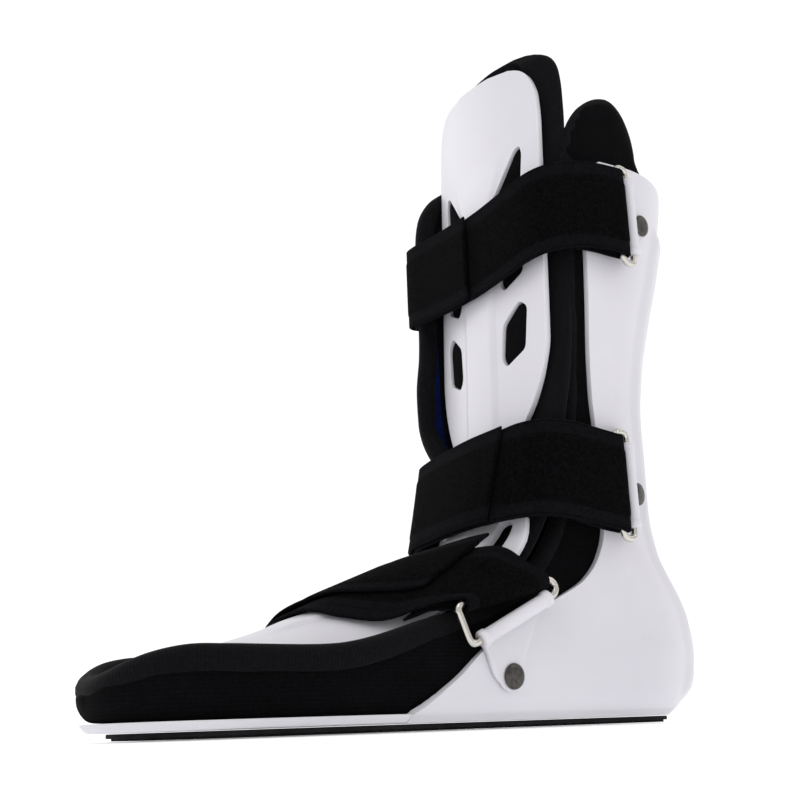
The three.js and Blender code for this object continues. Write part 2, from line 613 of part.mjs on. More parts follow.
// Full course of a strap: sewn loop behind the outer ring, body, turn round the inner ring, free layer
function strapCourse(strap) {
  const body = strapBody(strap);
  const frames = strapFrames(body);
  const last = body.length - 1;
  const lengths = [0];
  for (let i = 1; i <= last; i += 1) {
    lengths.push(lengths[i - 1] + middleOf(body[i]).distanceTo(middleOf(body[i - 1])));
  }
  const apart = (distance) => lerp(
    2 * turnRadius, strapThickness + 2 * gap, smooth(distance, foldLength / 6, foldLength));
  const sewn = body.map((station, i) => i).filter((i) => lengths[i] < foldLength);
  const loop = sewn.map((i) => shifted(
    body[i], frames[i].out.clone().multiplyScalar(-apart(lengths[i]))));
  const turn = (index, side) => [30, 60, 90, 120, 150].map((angle) => {
    const a = degrees(angle);
    const { run, out } = frames[index];
    const by = out.clone().multiplyScalar(side * turnRadius * (1 - Math.cos(a)));
    return shifted(body[index], by.addScaledVector(run, side * turnRadius * Math.sin(a)));
  });
  const reach = strap.tab * lengths[last];
  const free = [];
  for (let i = last; i >= 0 && lengths[last] - lengths[i] <= reach; i -= 1) {
    const back = lengths[last] - lengths[i];
    const by = frames[i].out.clone().multiplyScalar(apart(back));
    const late = strapWidth * smooth(back, 0.4 * foldLength, reach);
    const layer = shifted(body[i], by.addScaledVector(widthOf(body[i]), strap.skew * late));
    layer.low.addScaledVector(widthOf(body[i]), strap.trim * late);
    free.push(layer);
  }
  const outerTurn = turn(0, -1);
  return {
    stations: [...loop.reverse(), ...outerTurn.reverse(), ...body, ...turn(last, 1), ...free],
    lateral: shifted(body[0], frames[0].out.clone().multiplyScalar(-turnRadius)),
    medial: shifted(body[last], frames[last].out.clone().multiplyScalar(turnRadius)),
  };
}

function buildStrap(strap, course) {
  const frames = strapFrames(course.stations);
  const half = strapThickness / 2;
  const rings = course.stations.map(({ low, high }, i) => [
    low.clone().addScaledVector(frames[i].out, half), high.clone().addScaledVector(frames[i].out, half),
    high.clone().addScaledVector(frames[i].out, -half), low.clone().addScaledVector(frames[i].out, -half),
  ]);
  const square = [[0, 0], [1, 0], [1, 1], [0, 1]];
  addPiece(`strap_${strap.name}`, loft(rings, (p, i) => new THREE.Vector2(...square[i])), "strap");
}

// Wire ring: a rounded oblong from the sleeve's middle line to the leg that the strap turns round
function buildRing(anchor, strapLeg) {
  const half = strapWidth / 2 + wireRadius + ringSpare;
  const frame = anchorFrame(anchor);
  const sleeve = sleeveCentre(anchor);
  const sleeveRun = new THREE.Vector3(0, frame.across.x, frame.across.y);
  const leg = middleOf(strapLeg);
  const legRun = widthOf(strapLeg);
  const corners = [
    sleeve.clone().addScaledVector(sleeveRun, half), leg.clone().addScaledVector(legRun, half),
    leg.clone().addScaledVector(legRun, -half), sleeve.clone().addScaledVector(sleeveRun, -half),
  ];
  const narrow = Math.min(corners[0].distanceTo(corners[1]), corners[2].distanceTo(corners[3]));
  const corner = Math.min(2 * wireRadius, 0.36 * narrow);
  const path = corners.flatMap((at, i) => {
    const before = corners[(i + 3) % 4].clone().sub(at).normalize();
    const after = corners[(i + 1) % 4].clone().sub(at).normalize();
    const middle = before.clone().add(after).multiplyScalar(0.293 * corner);
    return [before.multiplyScalar(corner), middle, after.multiplyScalar(corner)].map((by) => by.add(at));
  });
  const label = anchor.side > 0 ? "lateral" : "medial";
  addPiece(`ring_${anchor.name}_${label}`, sweepLoop(path, wireRadius, 6), "ring");
}

// Closed loop of round wire
function sweepLoop(path, radius, sides) {
  const count = path.length;
  const normal = new THREE.Vector3().crossVectors(
    path[3].clone().sub(path[0]), path[6].clone().sub(path[0])).normalize();
  const vertices = [];
  const faces = [];
  for (let i = 0; i < count; i += 1) {
    const ahead = path[(i + 1) % count].clone().sub(path[(i + count - 1) % count]).normalize();
    const out = new THREE.Vector3().crossVectors(ahead, normal).normalize();
    const up = new THREE.Vector3().crossVectors(out, ahead).normalize();
    for (let k = 0; k < sides; k += 1) {
      const a = (2 * Math.PI * (k + 0.5)) / sides;
      const p = path[i].clone();
      p.addScaledVector(out, radius * Math.cos(a)).addScaledVector(up, radius * Math.sin(a));
      vertices.push(p.x, p.y, p.z);
      const j = (i + 1) % count;
      const m = (k + 1) % sides;
      faces.push([i * sides + k, j * sides + k, j * sides + m]);
      faces.push([i * sides + k, j * sides + m, i * sides + m]);
    }
  }
  return solidFrom(vertices, faces);
}

// The sleeve lies just off the shell's surface
function sleeveCentre(anchor) {
  const middle = anchorPoint(anchor, 0, 0, 0);
  const ends = [-0.5, -0.25, 0, 0.25, 0.5].map((share) => anchorPoint(anchor, share * sleeveLength, 0, 0).x);
  middle.x = anchor.side * (Math.max(...ends.map(Math.abs)) + 1.5 * gap + sleeveRadius);
  return middle;
}

function buildAnchorTab(anchor) {
  const frame = anchorFrame(anchor);
  const centre = sleeveCentre(anchor);
  const around = (radius) => Array.from({ length: 8 }, (_, i) => {
    const a = degrees(45 * i);
    return [radius * Math.cos(a), radius * Math.sin(a)];
  });
  const place = (across, [u, v]) => new THREE.Vector3(
    centre.x + u,
    frame.y + across * frame.across.x + v * frame.down.x,
    frame.z + across * frame.across.y + v * frame.down.y);
  const flat = (p) => new THREE.Vector2(
    p.x, (p.y - frame.y) * frame.down.x + (p.z - frame.z) * frame.down.y);
  const tube = (radius, halfLength) => loft(
    [-halfLength, halfLength].map((across) => around(radius).map((at) => place(across, at))), flat);
  const tip = 1.24 * rivetHeadRadius;
  const shape = [[0, sleeveLength / 2], [anchor.reach / 2, sleeveLength / 4 + tip / 2], [anchor.reach, tip]];
  for (const share of [0.5, 0.8, 0.97]) {
    shape.push([anchor.reach + share * tip, tip * Math.sqrt(1 - share ** 2)]);
  }
  const grid = (off) => shape.map(([down, half]) => [-1, -0.4, 0.4, 1].map((share) => {
    const slide = anchor.skew * smooth(down / anchor.reach, 0, 1);
    return anchorPoint(anchor, share * half + slide, down, off);
  }));
  const flap = sheet(grid(flapSeat + flapThickness), grid(flapSeat));
  const sleeve = tube(sleeveRadius, sleeveLength / 2).add(flap).subtract(tube(wireClear, sleeveLength));
  const label = anchor.side > 0 ? "lateral" : "medial";
  addPiece(`anchor_tab_${anchor.name}_${label}`, sleeve.subtract(rivetHole(anchor)), "shell");
}

// Domed rivet, its shank in the hole through tab and shell
function buildRivet(anchor) {
  const under = flapSeat + flapThickness + gap;
  const profile = [
    [rivetShankRadius, 0.8 - shellWall], [rivetShankRadius, under], [rivetHeadRadius, under],
    [rivetHeadRadius, under + 0.6 * rivetHeadHeight], [0.6 * rivetHeadRadius, under + rivetHeadHeight],
  ];
  const label = anchor.side > 0 ? "lateral" : "medial";
  addPiece(`rivet_${anchor.name}_${label}`, rivetBody(anchor, profile, 12), "rivet");
}

export { group };
export default group;

buildSolePad();
buildRearShell();
buildLiner();
buildFrontShell();
buildTongue();
for (const strap of straps) {
  const course = strapCourse(strap);
  buildStrap(strap, course);
  for (const anchor of anchors.filter((one) => one.name === strap.name)) {
    buildRing(anchor, anchor.side > 0 ? course.lateral : course.medial);
    buildAnchorTab(anchor);
    buildRivet(anchor);
  }
}
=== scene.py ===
# Looks of the foot drop brace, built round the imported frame.
# Working sizes are in millimetres; every mesh is turned into metres when it is made.
import math

import bmesh
import bpy
import numpy as np
from mathutils import Matrix, Vector


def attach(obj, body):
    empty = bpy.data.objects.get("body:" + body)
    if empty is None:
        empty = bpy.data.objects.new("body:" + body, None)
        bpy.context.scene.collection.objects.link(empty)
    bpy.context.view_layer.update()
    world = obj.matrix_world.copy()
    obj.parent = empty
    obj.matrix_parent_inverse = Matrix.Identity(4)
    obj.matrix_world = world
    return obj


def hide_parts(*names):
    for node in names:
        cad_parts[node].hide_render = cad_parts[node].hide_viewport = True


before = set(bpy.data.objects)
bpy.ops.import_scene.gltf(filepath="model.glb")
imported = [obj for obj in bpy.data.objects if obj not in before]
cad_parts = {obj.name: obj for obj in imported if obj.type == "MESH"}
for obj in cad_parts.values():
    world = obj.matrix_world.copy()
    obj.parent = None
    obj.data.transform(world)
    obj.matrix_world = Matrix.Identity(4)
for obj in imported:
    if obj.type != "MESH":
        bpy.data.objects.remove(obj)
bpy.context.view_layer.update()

# The form that the shells follow: the same sizes as in the part's source.
footLength, footWidth, calfWidth, shellHeight = 268.0, 94.0, 104.0, 247.0
frontHeight, frontWidth = 306.0, 86.0
padThickness, gap, plateThickness, shellWall = 2.5, 0.3, 3.2, 3.0
plateBottom = padThickness + gap
plateTop = plateBottom + plateThickness
strapWidth, wireRadius = 42.0, 1.5

# level, centre, back, half, start, toe, flare, leg
formRows = np.array([
    (0.0, 0.076, 0.191, 0.298, -0.56, -0.754, -0.011, 0),
    (0.017, 0.089, 0.213, 0.317, -0.56, -0.769, 0.01, 0),
    (0.038, 0.096, 0.2265, 0.334, -0.56, -0.787, 0.029, 0),
    (0.07, 0.1045, 0.237, 0.342, -0.56, -0.793, 0.038, 0),
    (0.111, 0.106, 0.241, 0.348, -0.55, -0.769, 0.045, 0.1),
    (0.169, 0.097, 0.234, 0.354, -0.41, -0.62, 0.045, 0.4),
    (0.21, 0.079, 0.218, 0.359, -0.3, -0.48, 0.045, 0.7),
    (0.242, 0.059, 0.2, 0.3625, -0.22, -0.39, 0.045, 1),
    (0.283, 0.038, 0.181, 0.367, -0.168, -0.33, 0, 1), (0.357, 0.0216, 0.168, 0.378, -0.142, -0.28, 0, 1),
    (0.447, 0.015, 0.167, 0.394, -0.142, -0.24, 0, 1), (0.541, 0.002, 0.165, 0.421, -0.142, -0.24, 0, 1),
    (0.623, 0.0015, 0.174, 0.445, -0.142, -0.24, 0, 1), (0.717, 0.014, 0.1955, 0.466, -0.142, -0.24, 0, 1),
    (0.8075, 0.035, 0.221, 0.479, -0.142, -0.24, 0, 1), (0.893, 0.053, 0.242, 0.4875, -0.142, -0.24, 0, 1),
    (1.0, 0.066, 0.26, 0.5, -0.142, -0.24, 0, 1), (1.2, 0.067, 0.261, 0.5, -0.142, -0.24, 0, 1),
])
planRows = np.array([
    (-0.6, 0.478, 0.484), (-0.466, 0.499, 0.497), (-0.362, 0.473, 0.457), (-0.261, 0.42, 0.38),
    (-0.164, 0.383, 0.33), (-0.075, 0.36, 0.32), (0.0, 0.347, 0.335), (0.1, 0.34, 0.34),
])


def smoothRead(xs, ys, x):
    # value of a smooth curve through a table's points, with no overshoot
    xs, ys = np.asarray(xs, float), np.asarray(ys, float)
    steps = np.diff(xs)
    slopes = np.diff(ys) / steps
    before, after = slopes[:-1], slopes[1:]
    inner = np.where(before * after > 0, 2 * before * after / (before + after + 1e-12), 0)
    tangents = np.concatenate([[slopes[0]], inner, [slopes[-1]]])
    x = np.clip(np.asarray(x, float), xs[0], xs[-1])
    i = np.clip(np.searchsorted(xs, x) - 1, 0, len(xs) - 2)
    t = (x - xs[i]) / steps[i]
    a, b = ys[i], ys[i + 1]
    da, db = tangents[i] * steps[i], tangents[i + 1] * steps[i]
    return a + t * da + t * t * (3 * (b - a) - 2 * da - db) + t ** 3 * (2 * (a - b) + da + db)


def smoothStep(x, low, high):
    t = np.clip((np.asarray(x, float) - low) / (high - low), 0, 1)
    return t * t * (3 - 2 * t)


def formAt(z):
    level = (np.asarray(z, float) - plateBottom) / (shellHeight - plateBottom)
    names = ("centre", "back", "half", "start", "toe", "flare", "leg")
    scales = (footLength, footLength, calfWidth, footLength, footLength, footWidth, 1)
    return {name: scale * smoothRead(formRows[:, 0], formRows[:, k + 1], level)
            for k, (name, scale) in enumerate(zip(names, scales))}


def halfWidth(side, y, z):
    form = formAt(z)
    column = 1 if side > 0 else 2
    plan = smoothRead(planRows[:, 0], planRows[:, column], np.asarray(y) / footLength)
    foot = footWidth * plan + form["flare"]
    return foot * (1 - form["leg"]) + form["half"] * form["leg"]


def formX(side, y, z, off=0.0):
    form = formAt(z)
    y = np.asarray(y, float)
    half = halfWidth(side, np.minimum(y, form["centre"]), z) + off
    share = np.clip((y - form["centre"]) / (form["back"] + off - form["centre"]), 0, 1)
    return side * half * np.sqrt(1 - share ** 2)


# Mesh helpers
def makeObject(name, points, faces, uvs=None, smooth=True):
    mesh = bpy.data.meshes.new(name)
    mesh.from_pydata([tuple(p) for p in np.asarray(points, float) * 0.001], [], [tuple(f) for f in faces])
    if uvs is not None:
        layer = mesh.uv_layers.new(name="lay")
        corners = np.array([v for polygon in mesh.polygons for v in polygon.vertices])
        layer.data.foreach_set("uv", np.asarray(uvs, np.float32)[corners].ravel())
    obj = bpy.data.objects.new(name, mesh)
    bpy.context.scene.collection.objects.link(obj)
    fixNormals(obj)
    if smooth:
        mesh.polygons.foreach_set("use_smooth", [True] * len(mesh.polygons))
    return obj


def fixNormals(obj):
    work = bmesh.new()
    work.from_mesh(obj.data)
    bmesh.ops.recalc_face_normals(work, faces=work.faces)
    work.to_mesh(obj.data)
    work.free()


def gridFaces(rows, columns, closeRows=False, closeColumns=False):
    faces = []
    for r in range(rows if closeRows else rows - 1):
        for c in range(columns if closeColumns else columns - 1):
            s, d = (r + 1) % rows * columns, (c + 1) % columns
            faces.append((r * columns + c, r * columns + d, s + d, s + c))
    return faces


def cappedFaces(rows, count):
    # faces of a tube of closed loops, with both its ends
    ends = [tuple(range(count)), tuple(range((rows - 1) * count, rows * count))]
    return gridFaces(rows, count, closeColumns=True) + ends


def applyModifiers(obj):
    bpy.context.view_layer.update()
    evaluated = obj.evaluated_get(bpy.context.evaluated_depsgraph_get())
    mesh = bpy.data.meshes.new_from_object(evaluated)
    old = obj.data
    obj.modifiers.clear()
    obj.data = mesh
    bpy.data.meshes.remove(old)
    return obj


def modifier(obj, kind, **settings):
    made = obj.modifiers.new(kind.lower(), kind)
    for key, value in settings.items():
        setattr(made, key, value)
    return made


def tubeObject(name, path, radius, sides=16):
    # round tube along points, with an even frame and the length along it in the UVs
    path = np.asarray(path, float)
    count = len(path)
    tangent = np.roll(path, -1, 0) - np.roll(path, 1, 0)
    tangent /= np.linalg.norm(tangent, axis=1)[:, None] + 1e-12
    normal = np.cross(tangent[0], [0.3, 0.2, 1.0])
    normals = []
    for t in tangent:
        normal = normal - t * normal.dot(t)
        normal /= np.linalg.norm(normal)
        normals.append(normal.copy())
    normals = np.array(normals)
    first, last = normals[0], normals[-1] - tangent[0] * normals[-1].dot(tangent[0])
    last /= np.linalg.norm(last)
    twist = math.atan2(np.cross(last, first).dot(tangent[0]), last.dot(first))
    for i in range(count):                       # the frame's last turn is spread over the loop
        a = twist * i / count
        b = np.cross(tangent[i], normals[i])
        normals[i] = normals[i] * math.cos(a) + b * math.sin(a)
    sideways = np.cross(tangent, normals)
    radii = np.broadcast_to(np.asarray(radius, float), (count,))
    angles = np.linspace(0, 2 * math.pi, sides, endpoint=False)
    ring = np.cos(angles)[None, :, None] * normals[:, None] + np.sin(angles)[None, :, None] * sideways[:, None]
    points = path[:, None] + ring * radii[:, None, None]
    along = np.concatenate([[0], np.cumsum(np.linalg.norm(np.diff(path, axis=0), axis=1))])
    uvs = np.stack(np.broadcast_arrays(along[:, None], (angles * radii.mean())[None, :]), -1).reshape(-1, 2)
    faces = gridFaces(count, sides, closeRows=True, closeColumns=True)
    return makeObject(name, points.reshape(-1, 3), faces, uvs)


def latheObject(name, profile, origin, axis, sides=40):
    # round body: profile rows are radius and distance along the axis
    axis = np.asarray(axis, float) / np.linalg.norm(axis)
    across = np.cross(axis, [0, 0, 1.0] if abs(axis[2]) < 0.9 else [1.0, 0, 0])
    across /= np.linalg.norm(across)
    other = np.cross(axis, across)
    angles = np.linspace(0, 2 * math.pi, sides, endpoint=False)
    points = []
    for radius, off in profile:
        for a in angles:
            arm = across * math.cos(a) + other * math.sin(a)
            points.append(np.asarray(origin) + axis * off + radius * arm)
    return makeObject(name, points, cappedFaces(len(profile), sides))


def resample(points, count, closed=False):
    # even points on a smooth curve through the given ones
    points = np.asarray(points, float)
    loop = np.vstack([points, points[:1]]) if closed else points
    dense = []
    total = len(loop) - 1
    for i in range(total):
        before = loop[i - 1] if i > 0 else (loop[-2] if closed else loop[0])
        after = loop[i + 2] if i + 2 <= total else (loop[1] if closed else loop[-1])
        for t in np.linspace(0, 1, 12, endpoint=False):
            a, b = loop[i], loop[i + 1]
            m, n = (b - before) / 2, (after - a) / 2
            dense.append((2 * t ** 3 - 3 * t ** 2 + 1) * a + (t ** 3 - 2 * t ** 2 + t) * m
                         + (3 * t ** 2 - 2 * t ** 3) * b + (t ** 3 - t ** 2) * n)
    dense.append(loop[-1])
    dense = np.array(dense)
    along = np.concatenate([[0], np.cumsum(np.linalg.norm(np.diff(dense, axis=0), axis=1))])
    wanted = np.linspace(0, along[-1], count + (1 if closed else 0))
    if closed:
        wanted = wanted[:-1]
    return np.stack([np.interp(wanted, along, dense[:, k]) for k in range(dense.shape[1])], -1)


def joinObjects(name, objects):
    work = bmesh.new()
    for o in objects:
        work.from_mesh(o.data)
    mesh = bpy.data.meshes.new(name)
    work.to_mesh(mesh)
    work.free()
    for o in objects:
        bpy.data.objects.remove(o)
    joined = bpy.data.objects.new(name, mesh)
    bpy.context.scene.collection.objects.link(joined)
    return joined


# Materials
def linear(text):
    parts = [int(text[i:i + 2], 16) / 255 for i in (1, 3, 5)]
    return tuple(v / 12.92 if v <= 0.04045 else ((v + 0.055) / 1.055) ** 2.4 for v in parts) + (1.0,)


def addNode(tree, kind, inputs=None, stops=(), **settings):
    # gives the new node's outputs; an input is a plain value or another node's output
    made = tree.nodes.new("ShaderNode" + kind)
    for key, value in settings.items():
        setattr(made, key, value)
    for element, (place, color) in zip(made.color_ramp.elements if stops else (), stops):
        element.position, element.color = place, linear(color)
    for key, value in (inputs or {}).items():
        if isinstance(value, bpy.types.NodeSocket):
            tree.links.new(value, made.inputs[key])
        else:
            made.inputs[key].default_value = value
    return made.outputs


def newMaterial(name, color, roughness, **values):
    material = bpy.data.materials.new(name)
    material.use_nodes = True
    tree = material.node_tree
    shader = tree.nodes["Principled BSDF"]
    shader.inputs["Base Color"].default_value = linear(color)
    shader.inputs["Roughness"].default_value = roughness
    for key, value in values.items():
        shader.inputs[key.replace("_", " ")].default_value = value
    return material, tree, shader


def wireUp(tree, shader, **links):
    for key, output in links.items():
        tree.links.new(output, shader.inputs[key.replace("_", " ")])


perMetre = 1000.0                                # over a pattern's size in millimetres it gives the scale
fullTurn = 2 * math.pi

plastic = {"color": "#E4E2E8", "dark": "#DEDCE3", "light": "#E9E7ED", "cloud": 71.4, "shine": 18.2,
           "wave": 26.3, "grain": 1.11, "smooth": 0.27, "dull": 0.42}


def shellPlastic():
    # moulded polyethylene: a cool white that light soaks into a little, with soft long highlights
    material, tree, shader = newMaterial("satin_white_moulded_plastic", plastic["color"], 0.34,
                                         Subsurface_Weight=0.25, Subsurface_Scale=0.004,
                                         Specular_IOR_Level=0.5, IOR=1.5)
    shader.inputs["Subsurface Radius"].default_value = (1.0, 0.9, 0.95)
    space = addNode(tree, "TexCoord")["Object"]
    cloud, shine, wave, grain = [
        addNode(tree, "TexNoise", {"Vector": space, "Scale": perMetre / plastic[name], "Detail": detail})[0]
        for name, detail in (("cloud", 3), ("shine", 4), ("wave", 1), ("grain", 2))]
    color = addNode(tree, "ValToRGB", {"Fac": cloud}, ((0.3, plastic["dark"]), (0.75, plastic["light"])))
    rough = addNode(tree, "MapRange", {"Value": shine, "To Min": plastic["smooth"],
                                                 "To Max": plastic["dull"]})
    waves = addNode(tree, "Bump", {"Height": wave, "Strength": 0.35, "Distance": 0.0006})
    relief = addNode(tree, "Bump", {"Height": grain, "Normal": waves[0], "Strength": 0.5,
                                              "Distance": 0.00004})
    wireUp(tree, shader, Base_Color=color[0], Roughness=rough[0], Normal=relief[0])
    return material


# pitch: rows of loops; nap, fuzz and cloud: sizes in the felted face
knit = {"pitch": 1.5, "nap": 1.11, "fuzz": 1.25, "cloud": 22.2, "depth": 0.0002, "sheen": 0.01,
        "dark": "#060607", "light": "#121214"}
lining = {**knit, "pitch": 1.9, "sheen": 0.03, "dark": "#060D30", "light": "#0D1C50"}


def knitFabric(name, cloth):
    # close knit over foam: hardly visible rows of small loops under a dull felted nap
    material, tree, shader = newMaterial(name, cloth["dark"], 0.95, Sheen_Weight=cloth["sheen"],
                                         Sheen_Roughness=0.5, Specular_IOR_Level=0.02)
    turn = fullTurn * perMetre / cloth["pitch"]
    space = addNode(tree, "TexCoord")["Object"]
    x, y, z = addNode(tree, "SeparateXYZ", {"Vector": space})
    rows = addNode(tree, "Math", {0: z, 1: turn}, operation="MULTIPLY")[0]
    rows = addNode(tree, "Math", {0: rows}, operation="SINE")[0]
    wide = addNode(tree, "Math", {0: y, 1: 0.83, 2: x}, operation="MULTIPLY_ADD")[0]
    shifted = addNode(tree, "Math", {0: rows, 1: 0.9}, operation="MULTIPLY")[0]
    loops = addNode(tree, "Math", {0: wide, 1: turn * 1.3, 2: shifted}, operation="MULTIPLY_ADD")[0]
    loops = addNode(tree, "Math", {0: loops}, operation="SINE")[0]
    both = addNode(tree, "Math", {0: rows, 1: loops}, operation="ADD")[0]
    weave = addNode(tree, "Math", {0: both, 1: 0.07}, operation="MULTIPLY")[0]
    nap, fuzz, cloud = [
        addNode(tree, "TexNoise", {"Vector": space, "Scale": perMetre / cloth[size], "Detail": detail,
                                             "Roughness": rough})[0]
        for size, detail, rough in (("nap", 4, 0.7), ("fuzz", 3, 0.5), ("cloud", 3, 0.5))]
    height = addNode(tree, "Math", {0: nap, 1: 1.2, 2: weave}, operation="MULTIPLY_ADD")[0]
    tone = addNode(tree, "Math", {0: fuzz, 1: 0.6, 2: weave}, operation="MULTIPLY_ADD")[0]
    tone = addNode(tree, "Math", {0: cloud, 1: 0.35, 2: tone}, operation="MULTIPLY_ADD")[0]
    color = addNode(tree, "ValToRGB", {"Fac": tone}, ((0.2, cloth["dark"]), (0.8, cloth["light"])))
    relief = addNode(tree, "Bump", {"Height": height, "Strength": 0.8, "Distance": cloth["depth"]})
    wireUp(tree, shader, Base_Color=color[0], Normal=relief[0])
    return material


tape = {"rib": 1.3, "fluff": 0.91, "fuzz": 1.43, "dark": "#08080A", "light": "#151518"}


def ribbedBinding():
    # folded elastic tape: fine ribs run round the roll, hardly lighter than the grooves between them
    material, tree, shader = newMaterial("black_ribbed_binding", "#0A0A0B", 0.85, Sheen_Weight=0.03,
                                         Sheen_Roughness=0.5, Specular_IOR_Level=0.06)
    space = addNode(tree, "TexCoord")["Object"]
    lay = addNode(tree, "UVMap", uv_map="lay")[0]
    along = addNode(tree, "SeparateXYZ", {"Vector": lay})[0]
    ribs = addNode(tree, "Math", {0: along, 1: fullTurn / tape["rib"]}, operation="MULTIPLY")[0]
    ribs = addNode(tree, "Math", {0: ribs}, operation="SINE")[0]
    fluff, fuzz = [
        addNode(tree, "TexNoise", {"Vector": space, "Scale": perMetre / tape[size], "Detail": 3})[0]
        for size in ("fluff", "fuzz")]
    low = addNode(tree, "Math", {0: ribs, 1: 0.3}, operation="MULTIPLY")[0]
    height = addNode(tree, "Math", {0: fluff, 1: 1.4, 2: low}, operation="MULTIPLY_ADD")[0]
    faint = addNode(tree, "Math", {0: ribs, 1: 0.07}, operation="MULTIPLY")[0]
    tone = addNode(tree, "Math", {0: fuzz, 1: 0.8, 2: faint}, operation="MULTIPLY_ADD")[0]
    color = addNode(tree, "ValToRGB", {"Fac": tone}, ((0.1, tape["dark"]), (0.8, tape["light"])))
    relief = addNode(tree, "Bump", {"Height": height, "Strength": 0.8, "Distance": 0.00016})
    wireUp(tree, shader, Base_Color=color[0], Normal=relief[0])
    return material


# border: from and to, off the middle line; seams: off the middle line; twill: pitch of the border's weave
webbing = {"border": (13.6, 14.8), "seams": (14.6, 20.0), "seamHalf": 0.35, "loop": 1.32, "twill": 1.1,
           "dark": "#060607", "light": "#17171A"}


def strapCloth():
    # woven strap: smooth dense borders, a sunk seam inside each, and a velvety field of clipped loops between
    material, tree, shader = newMaterial("black_loop_strap", webbing["dark"], 0.95, Sheen_Weight=0.01,
                                         Sheen_Roughness=0.5, Specular_IOR_Level=0.02)
    space = addNode(tree, "TexCoord")["Object"]
    lay = addNode(tree, "UVMap", uv_map="lay")[0]
    u, v, _ = addNode(tree, "SeparateXYZ", {"Vector": lay})
    across = addNode(tree, "Math", {0: v}, operation="ABSOLUTE")[0]
    start, end = webbing["border"]
    border = addNode(tree, "MapRange", {"Value": across, "From Min": start, "From Max": end})[0]
    loops = addNode(tree, "TexNoise", {"Vector": space, "Scale": perMetre / webbing["loop"], "Detail": 4,
                                                 "Roughness": 0.75})[0]
    clumps = addNode(tree, "MapRange", {"Value": loops, "From Min": 0.42, "From Max": 0.62})[0]
    slant = addNode(tree, "Math", {0: u, 1: v}, operation="ADD")[0]
    slant = addNode(tree, "Math", {0: slant, 1: fullTurn / webbing["twill"]}, operation="MULTIPLY")[0]
    twill = addNode(tree, "Math", {0: slant}, operation="SINE")[0]
    twill = addNode(tree, "Math", {0: twill, 1: 0.08}, operation="MULTIPLY")[0]
    dense = addNode(tree, "Math", {0: loops, 1: 0.4, 2: twill}, operation="MULTIPLY_ADD")[0]
    mixed = addNode(tree, "Mix", {0: border, 2: clumps, 3: dense})[0]
    seams = []
    for place in webbing["seams"]:                   # the thread pulls a shallow groove
        off = addNode(tree, "Math", {0: across, 1: place}, operation="SUBTRACT")[0]
        off = addNode(tree, "Math", {0: off}, operation="ABSOLUTE")[0]
        seams.append(addNode(tree, "Math", {0: off, 1: webbing["seamHalf"]}, operation="LESS_THAN")[0])
    seam = addNode(tree, "Math", {0: seams[0], 1: seams[1]}, operation="MAXIMUM")[0]
    height = addNode(tree, "Math", {0: seam, 1: -0.9, 2: mixed}, operation="MULTIPLY_ADD")[0]
    tone = addNode(tree, "Math", {0: clumps, 1: 0.4}, operation="MULTIPLY")[0]
    tone = addNode(tree, "Math", {0: border, 1: 0.3, 2: tone}, operation="MULTIPLY_ADD")[0]
    tone = addNode(tree, "Math", {0: seam, 1: -0.25, 2: tone}, operation="MULTIPLY_ADD")[0]
    color = addNode(tree, "ValToRGB", {"Fac": tone}, ((0.0, webbing["dark"]), (0.8, webbing["light"])))
    relief = addNode(tree, "Bump", {"Height": height, "Strength": 0.9, "Distance": 0.0005})
    wireUp(tree, shader, Base_Color=color[0], Normal=relief[0])
    return material


def nickelWire():
    # bright nickel-plated wire with faint drawing marks, about 2.5 mm apart over a finer grain
    material, tree, shader = newMaterial("bright_nickel_wire", "#D3CFC8", 0.17, Metallic=1.0)
    space = addNode(tree, "TexCoord")["Object"]
    marks = addNode(tree, "TexNoise", {"Vector": space, "Scale": perMetre / 2.5, "Detail": 3})[0]
    grain = addNode(tree, "TexNoise", {"Vector": space, "Scale": perMetre / 1.43, "Detail": 2})[0]
    rough = addNode(tree, "MapRange", {"Value": marks, "To Min": 0.12, "To Max": 0.28})
    relief = addNode(tree, "Bump", {"Height": grain, "Strength": 0.5, "Distance": 0.00003})
    wireUp(tree, shader, Roughness=rough[0], Normal=relief[0])
    return material


def mottled(name, color, tones, roughness, tint, grain, depth, **values):
    # plain stuff with a faint cloudy tint and a fine grain; tint and grain are sizes in millimetres
    material, tree, shader = newMaterial(name, color, roughness, **values)
    space = addNode(tree, "TexCoord")["Object"]
    cloud = addNode(tree, "TexNoise", {"Vector": space, "Scale": perMetre / tint[0], "Detail": tint[1]})[0]
    fine = addNode(tree, "TexNoise", {"Vector": space, "Scale": perMetre / grain, "Detail": 3})[0]
    color = addNode(tree, "ValToRGB", {"Fac": cloud}, ((0.3, tones[0]), (0.8, tones[1])))
    relief = addNode(tree, "Bump", {"Height": fine, "Strength": depth[0], "Distance": depth[1]})
    wireUp(tree, shader, Base_Color=color[0], Normal=relief[0])
    return material


finishes = {
    "shell": shellPlastic(),
    "knit": knitFabric("black_knit", knit),
    "lining": knitFabric("royal_blue_lining", lining),
    "binding": ribbedBinding(),
    "strap": strapCloth(),
    "wire": nickelWire(),
    # burnished nickel rivet head: a grey metal with a dull, slightly uneven shine
    "rivet": mottled("dark_nickel_rivet", "#565452", ("#454341", "#676460"), 0.36, (2.0, 3), 0.667,
                     (0.6, 0.00003), Metallic=1.0),
    # dusty black rubber with a grained face that hardly shines
    "tread": mottled("black_tread_rubber", "#18181A", ("#151516", "#242426"), 0.85, (16.7, 4), 0.714,
                     (0.8, 0.00012), Specular_IOR_Level=0.1),
}


